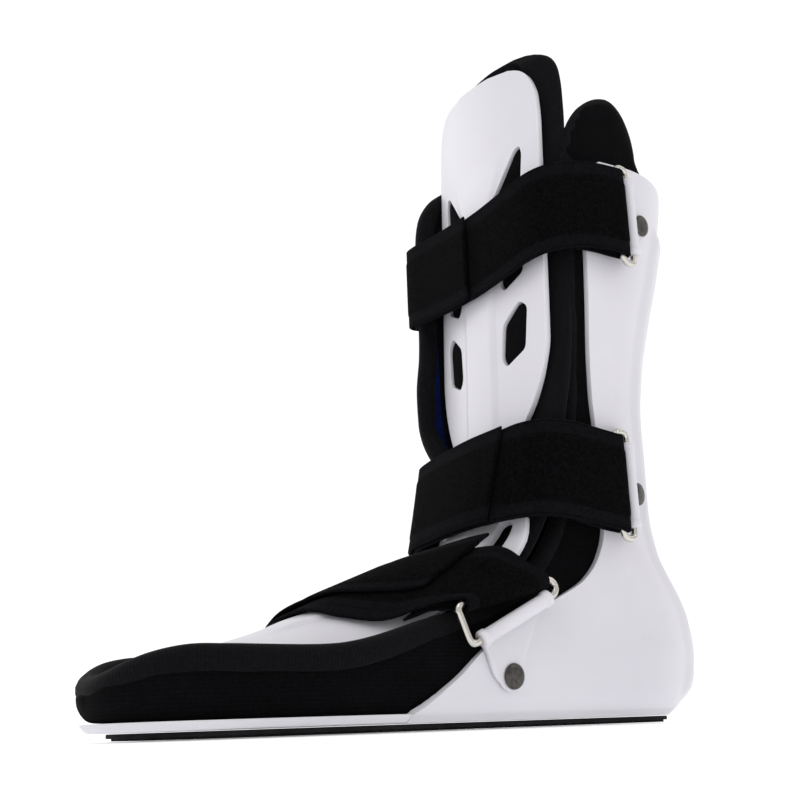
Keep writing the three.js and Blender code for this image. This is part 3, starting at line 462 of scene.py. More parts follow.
def dress(obj, finish, replaces=()):
    marks = np.zeros(len(obj.data.polygons), np.int32)
    obj.data.polygons.foreach_get("material_index", marks)
    obj.data.materials.clear()
    for name in ([finish] if isinstance(finish, str) else finish):
        obj.data.materials.append(finishes[name])
    obj.data.polygons.foreach_set("material_index", marks if obj.data.materials[1:] else marks * 0)
    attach(obj, "root")
    if replaces:
        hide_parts(*replaces)
    return obj


# Rear shell
rearShell = {"rows": 130, "columns": 150, "panelRise": 2.5, "panelAngle": 58.0, "panelFade": 7.0,
             "edgeRound": 0.9, "plateInset": 0.25, "plateRim": 0.6, "dimpleDepth": 0.6,
             "dimples": [(9, 158), (10, 138), (15, 60)]}

# y, z of the front edge
edgeAbove = [
    (-2.1, 66.7), (1.6, 76.6), (2.9, 90), (1.6, 106), (-1.1, 123.5), (-3.2, 138.3), (-4.3, 160.5), (-4, 197.6),
    (-2.9, 229.7), (-1.1, 240.8), (2, 245), (5.9, 247)]
edgeLateral = np.array([
    (-100, 2.8), (-97, 6), (-93, 8), (-84, 14), (-75, 20), (-67, 26.7), (-50, 38), (-31, 47), (-20, 51.9),
    (-9.6, 57.8)] + edgeAbove)
edgeMedial = np.array([
    (-143, 2.8), (-140, 6), (-131, 12), (-120, 22), (-102, 29.6), (-75, 37), (-48, 44.5), (-31, 49.4),
    (-20, 52.9), (-9.6, 58.3)] + edgeAbove)


def edgeAt(table, z):
    return smoothRead(table[:, 1], table[:, 0], z)


def rearPoint(share, z, off=0.0):
    # share runs from -1, the wall's outer front edge, over 0, the back, to 1, its inner front edge
    form = formAt(z)
    side = 1 if share < 0 else -1
    turn = 0.46
    k = abs(share)
    half = float(halfWidth(side, form["centre"], z)) + off
    depth = float(form["back"] - form["centre"]) + off
    if k <= turn:
        a = k / turn * math.pi / 2
        end = rearShell["panelAngle"]
        rise = rearShell["panelRise"] * (1 - smoothStep(math.degrees(a), end - rearShell["panelFade"], end))
        rise *= smoothStep(z, 7, 15) * (1 - smoothStep(z, 219, 228))
        return (side * (half + rise) * math.sin(a), float(form["centre"]) + (depth + rise) * math.cos(a), z)
    edge = float(edgeAt(edgeLateral if side > 0 else edgeMedial, z))
    y = float(form["centre"]) + (edge - float(form["centre"])) * (k - turn) / (1 - turn)
    return (side * (float(halfWidth(side, y, z)) + off), y, z)


def planOutline(z, inset, toeBack=0.0):
    # closed outline of the foot plate at a level
    form = {k: float(v) for k, v in formAt(z).items()}
    halves = []
    for side in (1, -1):
        points = []
        half = float(halfWidth(side, form["centre"], z)) - inset
        depth = form["back"] - inset - form["centre"]
        for a in np.radians(np.linspace(0, 90, 19))[1:]:
            points.append((side * half * math.sin(a), form["centre"] + depth * math.cos(a)))
        for t in np.linspace(0, 1, 30)[1:]:
            y = form["centre"] + (form["start"] - form["centre"]) * t
            points.append((side * (float(halfWidth(side, y, z)) - inset), y))
        endX, endY = points[-1]
        toe = form["toe"] + inset + toeBack
        for a in np.radians(np.linspace(0, 90, 24))[1:-1]:
            points.append((endX * math.cos(a) ** 0.8, endY + (toe - endY) * math.sin(a)))
        halves.append((points, form["back"] - inset, toe))
    loop = [(0, halves[0][1])] + halves[0][0] + [(0, halves[0][2])] + halves[1][0][::-1]
    return np.array([(x, y, z) for x, y in loop])


def slabObject(name, outlines):
    return makeObject(name, np.vstack(outlines), cappedFaces(len(outlines), len(outlines[0])))


def markSharp(obj, degreesLimit=40):
    mesh = obj.data
    mesh.polygons.foreach_set("use_smooth", [True] * len(mesh.polygons))
    work = bmesh.new()
    work.from_mesh(mesh)
    for edge in work.edges:
        if len(edge.link_faces) == 2 and edge.calc_face_angle(0) > math.radians(degreesLimit):
            edge.smooth = False
    work.to_mesh(mesh)
    work.free()


def buildRearShell():
    t = np.linspace(0, 1, rearShell["rows"])
    levels = plateBottom + (shellHeight - plateBottom) * (0.55 * t + 0.45 * t ** 2.2)
    shares = np.linspace(-1, 1, rearShell["columns"])
    grid = np.array([[rearPoint(s, z) for s in shares] for z in levels])
    for y, z in rearShell["dimples"]:                # small dents left by the moulding pins
        far = np.hypot((grid[:, :, 1] - y) / 1.7, (grid[:, :, 2] - z) / 2.2)
        grid[:, :, 0] -= rearShell["dimpleDepth"] * np.exp(-far ** 2) * (grid[:, :, 0] > 0)
    wall = makeObject("wall", grid.reshape(-1, 3), gridFaces(*grid.shape[:2]))
    turnOutward(wall)
    modifier(wall, "SOLIDIFY", thickness=shellWall * 0.001, offset=-1.0, use_even_offset=True)
    modifier(wall, "BEVEL", width=rearShell["edgeRound"] * 0.001, segments=3, limit_method="ANGLE",
             angle_limit=math.radians(55))
    applyModifiers(wall)
    inset, rim = rearShell["plateInset"], rearShell["plateRim"]
    levels = [(plateBottom, inset + rim), (plateBottom + rim, inset), (plateTop - rim, inset),
              (plateTop, inset + rim)]
    plate = slabObject("plate", [planOutline(z, edge) for z, edge in levels])
    shell = joinObjects("rear_shell_looks", [wall, plate])
    markSharp(shell)
    return dress(shell, "shell", ["rear_shell"])


def turnOutward(obj):
    # an open sheet's normals point away from the leg's middle line
    mesh = obj.data
    score = 0.0
    for p in mesh.polygons:
        score += p.normal.x * p.center.x + p.normal.y * p.center.y
    if score < 0:
        mesh.flip_normals()


buildRearShell()
print("rear shell done")

# Front shell
frontShell = {"rows": 170, "columns": 57, "bandRise": 1.3, "bandHalf": 12.5, "bandFlare": 9.5, "wall": 3.0,
              "lean": 0.13, "slotRound": 2.6, "bevel": 0.55}
# along, up (over 1: share of what stands above the rear shell), half, crown
frontRows = np.array([
    (-0.0955, 2, 0.14, 0.076), (-0.0957, 1.99, 0.25, 0.076), (-0.0961, 1.963, 0.335, 0.076),
    (-0.0967, 1.908, 0.41, 0.076), (-0.0978, 1.807, 0.458, 0.076), (-0.0992, 1.639, 0.49, 0.076),
    (-0.101, 1.353, 0.5, 0.076), (-0.106, 0.929, 0.5, 0.076), (-0.1105, 0.7842, 0.5, 0.076),
    (-0.1145, 0.6575, 0.497, 0.076), (-0.116, 0.6032, 0.468, 0.076), (-0.118, 0.5489, 0.407, 0.08),
    (-0.12, 0.5067, 0.33, 0.085), (-0.123, 0.4645, 0.24, 0.09), (-0.129, 0.4162, 0.2, 0.1),
    (-0.139, 0.3764, 0.24, 0.1), (-0.149, 0.3523, 0.4, 0.1), (-0.17, 0.3257, 0.425, 0.16),
    (-0.226, 0.2871, 0.41, 0.27), (-0.298, 0.2473, 0.375, 0.33), (-0.392, 0.2027, 0.355, 0.38),
    (-0.47, 0.1731, 0.335, 0.36), (-0.52, 0.1568, 0.3, 0.28), (-0.552, 0.1466, 0.235, 0.2),
    (-0.571, 0.1406, 0.15, 0.19), (-0.578, 0.1381, 0.06, 0.19),
])


def frontLevel(up):
    up = np.asarray(up, float)
    return np.where(up < 1, up * shellHeight, shellHeight + (frontHeight - shellHeight) * (up - 1))


frontLine = np.stack([frontRows[:, 0] * footLength, frontLevel(frontRows[:, 1])], -1)
frontAlong = np.concatenate([[0], np.cumsum(np.linalg.norm(np.diff(frontLine, axis=0), axis=1))])


def frontAt(s):
    # at a length down from the front shell's top: place, inward direction, half width, crown
    s = max(s, 0.0)
    at = np.array([max(s - 2.0, 0.0), s, s + 2.0])
    ys, zs = smoothRead(frontAlong, frontLine[:, 0], at), smoothRead(frontAlong, frontLine[:, 1], at)
    run = np.array([ys[2] - ys[0], zs[2] - zs[0]])
    run /= np.linalg.norm(run)
    half = float(smoothRead(frontAlong, frontRows[:, 2], s)) * frontWidth
    crown = float(smoothRead(frontAlong, frontRows[:, 3], s)) * frontWidth
    return np.array([ys[1], zs[1]]), np.array([-run[1], run[0]]), half, crown


def frontPoint(s, x, depth, wrap=0.0):
    place, inward, half, crown = frontAt(s)
    edge = min(abs(x), half)
    drop = crown * (edge / (frontWidth / 2)) ** 2 + 0.2 * (abs(x) - edge)
    at = place + inward * (depth + drop + wrap * (x / 45) ** 4)
    return (x, at[0], at[1] - min(s, 0))             # above the shell's top the form goes straight on


# corners of each slot on the shin: across, up as in frontRows
slotShapes = [
    [(0.385, 1.124), (0.37, 1.194), (0.335, 1.182), (0.24, 1.007), (0.15, 0.959), (0.16, 0.923),
     (0.36, 0.923)],
    [(0.385, 0.8747), (0.32, 0.8831), (0.205, 0.8469), (0.19, 0.7842), (0.225, 0.7673), (0.365, 0.7902)],
    [(0.385, 0.7239), (0.325, 0.7384), (0.205, 0.7022), (0.19, 0.637), (0.225, 0.6201), (0.365, 0.6431)],
]


def roundCorners(points, radius, steps=4):
    points = np.asarray(points, float)
    out = []
    for i, p in enumerate(points):
        a, b = points[i - 1] - p, points[(i + 1) % len(points)] - p
        la, lb = np.linalg.norm(a), np.linalg.norm(b)
        cut = min(radius, la * 0.45, lb * 0.45)
        start, end = p + a / la * cut, p + b / lb * cut
        for t in np.linspace(0, 1, steps + 1):
            out.append((1 - t) ** 2 * start + 2 * t * (1 - t) * p + t * t * end)
    return np.array(out)


def slotLoop(side, corners):
    points = [(side * a * frontWidth, float(frontLevel(u))) for a, u in corners]
    return roundCorners(points, frontShell["slotRound"])


def prismObject(name, low, high):
    return makeObject(name, np.vstack([low, high]), cappedFaces(2, len(low)))


def buildFrontShell():
    total = frontAlong[-1]
    t = np.linspace(0, 1, frontShell["rows"])
    lengths = total * (0.5 - 0.5 * np.cos(math.pi * t)) * 0.3 + total * t * 0.7
    rows = []
    for s in lengths:
        middle, _, half, _ = frontAt(s)
        height = middle[1]
        row = []
        for share in np.linspace(-1, 1, frontShell["columns"]):
            x = share * half
            band = frontShell["bandHalf"] + frontShell["bandFlare"] * smoothStep(height, 228, 262)
            rise = frontShell["bandRise"] * (1 - smoothStep(abs(x), band - 2.2, band))
            rise *= (1 - smoothStep(s, total - 30, total - 12)) * (1 - smoothStep(height, 236, 268))
            at = frontPoint(s, x, -float(rise))
            lean = frontShell["lean"] * x * float(smoothStep(height, shellHeight, frontHeight))
            row.append((at[0], at[1], at[2] - lean))
        rows.append(row)
    grid = np.array(rows)
    shell = makeObject("front_shell_looks", grid.reshape(-1, 3), gridFaces(*grid.shape[:2]))
    forward = sum(p.normal.y for p in shell.data.polygons)
    if forward > 0:
        shell.data.flip_normals()
    modifier(shell, "SOLIDIFY", thickness=frontShell["wall"] * 0.001, offset=-1.0, use_even_offset=True)
    applyModifiers(shell)
    cutters = []
    for side in (-1, 1):
        for corners in slotShapes:
            loop = slotLoop(side, corners)
            ends = [[(x, y, z) for x, z in loop] for y in (-90.0, 0.0)]
            cutters.append(prismObject("cutter", *ends))
        cutters.append(instepCutter(side))
    cutter = joinObjects("cutter", cutters)
    fixNormals(cutter)
    modifier(shell, "BOOLEAN", operation="DIFFERENCE", object=cutter, solver="EXACT")
    modifier(shell, "BEVEL", width=frontShell["bevel"] * 0.001, segments=2, limit_method="ANGLE",
             angle_limit=math.radians(50))
    applyModifiers(shell)
    bpy.data.objects.remove(cutter)
    markSharp(shell, 35)
    return dress(shell, "shell", ["front_shell"])


def instepCutter(side):
    begin = np.array([-0.151 * footLength, 0.3487 * shellHeight])
    end = np.array([-0.2 * footLength, 0.3016 * shellHeight])
    run = end - begin
    length = np.linalg.norm(run)
    run /= length
    inward = np.array([-run[1], run[0]])
    corners = [(-1, 0.12), (-0.4, 0), (0.4, 0), (1, 0.12), (1, 0.85), (0.2, 1), (-0.6, 1), (-1, 0.85)]
    loops = []
    for depth in (-12, 24):
        loop = []
        for across, share in roundCorners(corners, 0.15):
            at = begin + run * share * length + inward * depth
            loop.append((side * (0.2975 + across * 0.0475) * frontWidth, at[0], at[1]))
        loops.append(loop)
    return prismObject("cutter", *loops)


buildFrontShell()
print("front shell done")

# Padded liner and tongue
padding = {"voxel": 3.2, "smoothing": 5, "pressure": 3.0, "frames": 20, "swell": 1.6, "nearShell": 0.5,
           "tongueSwell": 0.8,
           "cloth": {"quality": 6, "mass": 0.3, "tension_stiffness": 18, "compression_stiffness": 8,
                     "bending_stiffness": 0.3}}


def frameCopy(node, name):
    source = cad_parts[node]
    obj = bpy.data.objects.new(name, source.data.copy())
    bpy.context.scene.collection.objects.link(obj)
    obj.data.materials.clear()
    return obj


def meshPoints(obj):
    points = np.empty(len(obj.data.vertices) * 3)
    obj.data.vertices.foreach_get("co", points)
    return points.reshape(-1, 3)


def setPoints(obj, points):
    obj.data.vertices.foreach_set("co", np.asarray(points, float).ravel())
    obj.data.update()


def puff(obj, limit):
    # cloth simulation with air pressure swells the pad; limit(points) holds each point's way in mm
    rest = meshPoints(obj)
    cloth = obj.modifiers.new("cloth", "CLOTH")
    settings = cloth.settings
    settings.use_pressure = True
    settings.uniform_pressure_force = padding["pressure"]
    settings.effector_weights.gravity = 0
    for key, value in padding["cloth"].items():
        setattr(settings, key, value)
    cloth.collision_settings.use_collision = False
    cloth.point_cache.frame_start = 1
    cloth.point_cache.frame_end = padding["frames"]
    scene = bpy.context.scene
    for number in range(1, padding["frames"] + 1):
        scene.frame_set(number)
    applyModifiers(obj)
    scene.frame_set(1)
    moved = meshPoints(obj) - rest
    size = np.linalg.norm(moved, axis=1) + 1e-12
    most = np.asarray(limit(rest * 1000)) * 0.001
    setPoints(obj, rest + moved * (np.minimum(size, most) / size)[:, None])
    modifier(obj, "SUBSURF", levels=1, render_levels=1)
    applyModifiers(obj)
    obj.data.polygons.foreach_set("use_smooth", [True] * len(obj.data.polygons))
    return obj


def insetOf(points):
    # how far inside the form each point lies, in millimetres
    x, y, z = points[:, 0], points[:, 1], points[:, 2]
    form = formAt(z)
    forward = np.minimum(y, form["centre"])
    side = np.where(x > 0, halfWidth(1, forward, z), halfWidth(-1, forward, z))
    depth = form["back"] - form["centre"]
    radial = np.sqrt((x / side) ** 2 + (np.maximum(y - form["centre"], 0) / depth) ** 2)
    inset = (1 - radial) * np.where(y > form["centre"], (side + depth) / 2, side)
    toe = smoothStep(-y, 150, 160)
    reach = np.hypot(x / side, np.maximum(-y - 150, 0) / np.maximum(-form["toe"] - 150, 5))
    return inset * (1 - toe) + (1 - reach) * 50 * toe


def linerLimit(points):
    z, y = points[:, 2], points[:, 1]
    inside = smoothStep(insetOf(points), 5.0, 8.5)
    free = np.maximum(smoothStep(-y, 95, 120), smoothStep(z, 246, 254))
    outer = padding["nearShell"] + (padding["swell"] - padding["nearShell"]) * free
    swell = outer * (1 - inside) + padding["swell"] * inside
    return swell * smoothStep(z, 6.3, 11)


def paintInside(obj, inner):
    # second material on the faces that face the leg
    centres = np.empty(len(obj.data.polygons) * 3)
    obj.data.polygons.foreach_get("center", centres)
    mask = inner(centres.reshape(-1, 3) * 1000, np.array([p.normal for p in obj.data.polygons]))
    obj.data.polygons.foreach_set("material_index", mask.astype(np.int32))


def linerInner(centres, normals):
    x, y, z = centres.T
    towards = normals[:, 0] * -np.sign(x) * (np.abs(x) > 12) + normals[:, 1] * -np.sign(y - 5) * 0.8
    deep = insetOf(centres) > 7.5
    # the wing's blue lining stops at y -25; nearer the front shell's edge the strip below is painted shadow
    wing = (x < -30) & (y < -25) & (z > 100) & (normals[:, 0] > 0.3)
    # painted shadow: this strip of the medial wing's inner face, next to the front shell's edge under the
    # tongue's roll, keeps the black knit in place of the blue lining to stand in for its shade
    paintedShadowStrip = (x < -30) & (y > -25) & (y < -8) & (z > 100)
    floor = (normals[:, 2] > 0.6) & (z < 20) & (z > 9)
    # blue lining on the faces towards the leg, less the strip kept black as painted shadow
    return (deep & (towards > -0.2) & ~paintedShadowStrip) | wing | floor


def buildLiner():
    liner = frameCopy("liner", "liner_looks")
    modifier(liner, "REMESH", mode="VOXEL", voxel_size=padding["voxel"] * 0.001)
    modifier(liner, "SMOOTH", factor=0.5, iterations=padding["smoothing"])
    puff(applyModifiers(liner), linerLimit)
    dress(liner, ["knit", "lining"], ["liner"])
    paintInside(liner, linerInner)


buildLiner()
print("liner done")

# seat: behind the front shell's face; inner: inner half against outer; flat, round: points across a section
tongueLook = {"seat": 3.9, "wall": 6.5, "inner": 0.98, "crown": 1.0, "wrap": 3.5, "rows": 100, "flat": 17,
              "round": 5}
# level and half width of the tongue on the shin
tongueShin = np.array([
    (62, 27.4), (76, 33), (92, 37), (110, 40), (130, 43.5), (149, 45.5), (230, 45.5), (250, 45.8), (270, 46.5),
    (285, 46.3), (295, 45.6), (301, 44.4), (305, 42.3), (307.5, 39), (309.5, 33.5), (311.2, 26.5), (312.5, 18),
    (313.2, 9)])


def tongueHalf(s):
    place, _, half, _ = frontAt(s)
    across = float(smoothRead(tongueShin[:, 0], tongueShin[:, 1], place[1] - min(s, 0)))
    return min(across, half + 2.5) if place[0] < -0.49 * footLength else across


def slotSwell(side, corners):
    # the tongue's foam stands up into a slot of the front shell
    flat = slotLoop(side, corners)
    middle = flat.mean(0)
    reach = np.linalg.norm(flat - middle, axis=1)[:, None]
    rings = []
    for depth, inset in ((5.5, 0.25), (2.2, 0.25), (1.5, 0.6), (1.1, 1.6)):
        ring = middle + (flat - middle) * (1 - inset / reach)
        lengths = np.interp(-ring[:, 1], -frontLine[:, 1], frontAlong)
        rings.append([frontPoint(float(s), x, depth) for s, (x, z) in zip(lengths, ring)])
    return slabObject("swell", np.array(rings))


def buildTongue():
    k = tongueLook["wall"] / 2
    top, end = frontHeight - tongueShin[-1, 0], frontAlong[-2]
    t = np.linspace(0, 1, tongueLook["rows"])
    stations = top + (end - top) * (0.75 * t + 0.25 * (0.5 - 0.5 * np.cos(math.pi * t)))
    flat, turn = tongueLook["flat"], tongueLook["round"]
    angles = np.linspace(-math.pi / 2, math.pi / 2, turn + 2)[1:-1]
    rows = []
    for s in stations:
        half = tongueHalf(s)
        near = min(1.0, min(s - top, end - s) / k)
        thick = k * max(0.12, math.sqrt(1 - (1 - near) ** 2))
        section = [(x, -thick) for x in np.linspace(-half + k, half - k, flat)]
        section += [(half - k + k * math.cos(a), thick * math.sin(a)) for a in angles]
        section += [(x, thick + near * tongueLook["crown"] * (1 - (x / half) ** 4))
                    for x in np.linspace(half - k, -half + k, flat)]
        section += [(-half + k - k * math.cos(a), -thick * math.sin(a)) for a in angles]
        wrap = tongueLook["wrap"] * float(smoothStep(frontAt(s)[0][1], 120, 180))
        rows.append([frontPoint(s, x * (1 if x > 0 else tongueLook["inner"]), tongueLook["seat"] + k + d, wrap)
                     for x, d in section])
    count = 2 * (flat + turn)
    tongue = makeObject("tongue_looks", np.array(rows).reshape(-1, 3), cappedFaces(len(rows), count))
    marks = []                                       # black face, blue lining, and the taped roll of the edge
    for i in range(count * (len(rows) - 1)):
        column = i % count
        lining = flat + turn + 1 <= column < 2 * flat + turn - 2
        face = 2 <= column < flat - 3
        marks.append(0 if face else 1 if lining else 2)
    tongue.data.polygons.foreach_set("material_index", np.array(marks + [2, 2], np.int32))
    puff(tongue, lambda points: padding["tongueSwell"] * smoothStep(points[:, 2], 296, 304))
    swells = [slotSwell(side, corners) for side in (-1, 1) for corners in slotShapes]
    tongue = joinObjects("tongue_looks", [tongue] + swells)
    dress(tongue, ["knit", "lining", "binding"], ["liner_tongue"])


buildTongue()
print("tongue done")

# Binding round the liner's edge
binding = {"legRadius": {1: 4.2, -1: 4.8}, "footRadius": 5.0, "lift": 4.2, "reach": {1: 0.6, -1: 1.8},
           "inset": 7.2, "points": 620, "toe": -201.5}
linerFoot = [
    (-0.86, 0.05), (-0.795, 0.055), (-0.778, 0.071), (-0.757, 0.09), (-0.72, 0.105), (-0.66, 0.11),
    (-0.6, 0.109), (-0.46, 0.111), (-0.328, 0.148), (-0.276, 0.166), (-0.187, 0.21), (-0.13, 0.25), (-0.093, 0.3)]
linerLateral = linerFoot + [
    (-0.071, 0.35), (-0.056, 0.42), (-0.052, 0.6), (-0.05, 0.8), (-0.048, 0.94), (-0.035, 1.04),
    (-0.007, 1.105), (0.028, 1.142), (0.067, 1.155), (0.1, 1.13), (0.122, 1.08), (0.133, 1.02), (0.17, 0.998)]
linerMedial = linerFoot + [
    (-0.084, 0.35), (-0.098, 0.4), (-0.116, 0.47), (-0.125, 0.55), (-0.128, 0.65), (-0.119, 0.75),
    (-0.118, 0.99), (-0.105, 1.055), (-0.08, 1.085), (-0.05, 1.105), (-0.01, 1.128), (0.03, 1.15), (0.065, 1.16),
    (0.1, 1.135), (0.122, 1.08), (0.133, 1.02), (0.17, 0.998)]
wingHalf = 52.8


def linerX(side, y, z, inset):
    x = abs(float(formX(side, y, z, -inset)))
    if side < 0:
        spread = float(smoothStep(-y / footLength, 0.032, 0.075) * smoothStep(z / shellHeight, 0.45, 0.58))
        target = wingHalf + 3.3 - inset
        x += (max(x, target) - x) * spread
    return side * x


def edgeRoll(table, side):
    # the roll's middle line in side view, one radius in from the cut edge: y, z, radius
    line = resample(np.array(table) * [footLength, shellHeight], 220)
    run = np.gradient(line, axis=0)
    run /= np.linalg.norm(run, axis=1)[:, None]
    legRadius = binding["legRadius"][side]
    radius = binding["footRadius"] + (legRadius - binding["footRadius"]) * smoothStep(line[:, 1], 48, 75)
    height = line[:, 1].copy()
    reach = binding["reach"][side] * smoothStep(height, 40, 75) * (1 - smoothStep(height, 240, 262))
    line = line + np.stack([run[:, 1], -run[:, 0]], -1) * (radius - reach)[:, None]
    line[:, 1] += binding["lift"] * smoothStep(line[:, 0], -206, -178) * (1 - smoothStep(line[:, 0], -90, -40))
    return np.column_stack([line, radius])


def bindingPath():
    halves = []
    for side, table in ((1, linerLateral), (-1, linerMedial)):
        roll = edgeRoll(table, side)
        points = []
        endY = -0.56 * footLength
        low = roll[roll[:, 0] < -100]
        low = low[np.argsort(low[:, 0])]
        for a in np.radians((84, 72, 60, 47, 33, 18)):
            endX = float(halfWidth(side, endY, 25.0)) - binding["inset"]
            y = endY + (binding["toe"] - endY) * math.sin(a)
            z = float(np.interp(y, low[:, 0], low[:, 1]))
            points.append((side * endX * math.cos(a) ** 0.8, y, z, binding["footRadius"]))
        for y, z, radius in roll[::3]:
            if y > endY + 4 and y < 0.13 * footLength:
                points.append((linerX(side, y, z, binding["inset"]), y, z, radius))
        halves.append(points)
    radius = binding["legRadius"][1]
    level = 0.995 * shellHeight - radius
    arcs = []
    for side in (1, -1):
        arcs.append([(side * (51.5 - binding["inset"]) * math.sin(a),
                      17.6 + (69.6 - 17.6 - binding["inset"]) * math.cos(a), level, radius)
                     for a in np.radians((45, 22))])
    back = [(0.0, 0.26 * footLength - binding["inset"], level, radius)]
    return halves[0] + arcs[0] + back + arcs[1][::-1] + halves[1][::-1]


path = resample(bindingPath(), binding["points"], closed=True)
bindingTube = tubeObject("liner_binding", path[:, :3], path[:, 3], sides=14)
dress(bindingTube, "binding")
print("binding done")

# Straps
strapLook = {"thickness": 2.0, "pile": 0.35, "border": 6.8, "fold": 24.0, "stations": 260}
# low and high edges as shares: rows hold x, y of the high edge, y of the low one, and how far it hangs
straps = {
    "upper": {"middle": 0.89 * shellHeight, "tab": 0.55, "skew": 0.0, "trim": 0.0, "rows": [
        (0.575, 0.037, 0.037, 0), (0.555, 0.0, 0.0, -0.03), (0.522, -0.04, -0.04, -0.04),
        (0.482, -0.083, -0.083, 0.01), (0.41, -0.111, -0.111, 0.08), (0.27, -0.124, -0.124, 0.16),
        (0.09, -0.129, -0.129, 0.2), (-0.1, -0.13, -0.13, 0.19), (-0.3, -0.13, -0.13, 0.15),
        (-0.45, -0.13, -0.13, 0.11), (-0.532, -0.119, -0.119, 0.07), (-0.55, -0.088, -0.088, 0.04),
        (-0.535, -0.04, -0.04, 0.01), (-0.516, 0.035, 0.035, 0)]},
    "ankle": {"middle": 0.397 * shellHeight, "tab": 0.68, "skew": 0.0, "trim": 0.0, "rows": [
        (0.469, 0.022, 0.022, 0), (0.459, -0.02, -0.03, -0.05), (0.445, -0.058, -0.075, -0.1),
        (0.418, -0.1, -0.125, -0.12), (0.34, -0.134, -0.164, -0.1), (0.2, -0.146, -0.191, -0.07),
        (0.06, -0.153, -0.198, -0.05), (-0.1, -0.153, -0.198, -0.03), (-0.28, -0.149, -0.192, -0.01),
        (-0.4, -0.14, -0.168, 0), (-0.466, -0.116, -0.138, 0), (-0.478, -0.075, -0.09, 0),
        (-0.46, -0.03, -0.04, 0), (-0.427, 0.021, 0.021, 0)]},
    "instep": {"tab": 0.78, "skew": 0.16, "trim": 0.3, "edges": [
        ((0.5, -0.28, 0.193), (0.5, -0.134, 0.235)), ((0.453, -0.306, 0.19), (0.457, -0.159, 0.257)),
        ((0.399, -0.34, 0.178), (0.41, -0.188, 0.281)), ((0.314, -0.381, 0.164), (0.3, -0.218, 0.283)),
        ((0.202, -0.424, 0.173), (0.2, -0.248, 0.277)), ((0.074, -0.457, 0.187), (0.085, -0.278, 0.268)),
        ((-0.053, -0.472, 0.183), (-0.043, -0.304, 0.257)), ((-0.176, -0.478, 0.173), (-0.16, -0.326, 0.237)),
        ((-0.287, -0.476, 0.152), (-0.27, -0.341, 0.211)), ((-0.394, -0.472, 0.134), (-0.39, -0.347, 0.186)),
        ((-0.465, -0.466, 0.128), (-0.465, -0.341, 0.18)), ((-0.503, -0.459, 0.113), (-0.503, -0.33, 0.164))]},
}
turnRadius = wireRadius + gap + strapLook["thickness"] / 2


def strapCourse(strap):
    # edges of a strap along its whole course, and the middle lines of the two wires that it turns round
    if "rows" in strap:
        level = strap["middle"]
        low = [(a * calfWidth, b * footLength, level - (0.5 + d) * strapWidth) for a, t, b, d in strap["rows"]]
        high = [(a * calfWidth, t * footLength, level + (0.5 - d) * strapWidth)
                for a, t, b, d in strap["rows"]]
    else:
        scale = np.array([footWidth, footLength, shellHeight])
        low = [np.array(a) * scale for a, b in strap["edges"]]
        high = [np.array(b) * scale for a, b in strap["edges"]]
    both = resample(np.hstack([low, high]), 90)
    low, high = both[:, :3], both[:, 3:]
    middle = (low + high) / 2
    width = high - low
    width /= np.linalg.norm(width, axis=1)[:, None]
    run = np.gradient(middle, axis=0)
    run /= np.linalg.norm(run, axis=1)[:, None]
    out = np.cross(width, run)
    out /= np.linalg.norm(out, axis=1)[:, None]
    run = np.cross(out, width)                       # square to the wires that the strap turns round
    along = np.concatenate([[0], np.cumsum(np.linalg.norm(np.diff(middle, axis=0), axis=1))])
    total = along[-1]
    lows, highs = [], []

    def apart(by):                                   # the two layers close up behind the wire
        close = strapLook["thickness"] + 2 * gap
        return 2 * turnRadius + (close - 2 * turnRadius) * smoothStep(by, 4, strapLook["fold"])

    def add(i, by, raiseLow=0.0):
        lows.append(low[i] + by + width[i] * raiseLow)
        highs.append(high[i] + by)

    for i in [k for k in range(len(low)) if along[k] < strapLook["fold"]][::-1]:
        add(i, -out[i] * apart(along[i]))
    for a in np.radians(np.arange(168, 6, -12)):
        add(0, -out[0] * turnRadius * (1 - math.cos(a)) - run[0] * turnRadius * math.sin(a))
    for i in range(len(low)):
        add(i, np.zeros(3))
    last = len(low) - 1
    for a in np.radians(np.arange(12, 174, 12)):
        add(last, out[last] * turnRadius * (1 - math.cos(a)) + run[last] * turnRadius * math.sin(a))
    reach = strap["tab"] * total
    for i in range(last, -1, -1):
        back = total - along[i]
        if back > reach:
            break
        late = strapWidth * float(smoothStep(back, 10, reach))
        add(i, out[i] * apart(back) + width[i] * strap["skew"] * late, strap["trim"] * late)
    wires = [(middle[0] - out[0] * turnRadius, width[0]), (middle[last] + out[last] * turnRadius, width[last])]
    return np.array(lows), np.array(highs), wires


def strapObject(name, lows, highs):
    both = resample(np.hstack([lows, highs]), strapLook["stations"])
    lows, highs = both[:, :3], both[:, 3:]
    middle = (lows + highs) / 2
    run = np.gradient(middle, axis=0)
    width = highs - lows
    spans = np.linalg.norm(width, axis=1)
    out = np.cross(width, run)
    out /= np.linalg.norm(out, axis=1)[:, None]
    along = np.concatenate([[0], np.cumsum(np.linalg.norm(np.diff(middle, axis=0), axis=1))])
    border = strapLook["border"] / strapWidth
    shares = np.array([0, 0.012, 0.05, border - 0.015, border + 0.02, 0.3, 0.4, 0.5, 0.6, 0.7,
                       1 - border - 0.02, 1 - border + 0.015, 0.95, 0.988, 1])
    half = strapLook["thickness"] / 2
    heights = np.where((shares > border) & (shares < 1 - border), half, half - strapLook["pile"])
    heights[[0, -1]] = 0.15
    points, uvs = [], []
    for i in range(len(lows)):
        line = lows[i] + shares[:, None] * (highs[i] - lows[i])
        across = (shares - 0.5) * spans[i]
        points += list(line + out[i] * heights[:, None]) + list((line - out[i] * heights[:, None])[::-1])
        uvs += [(along[i], a) for a in across] + [(along[i], a) for a in across[::-1]]
    return makeObject(name, points, cappedFaces(len(lows), 2 * len(shares)), uvs)


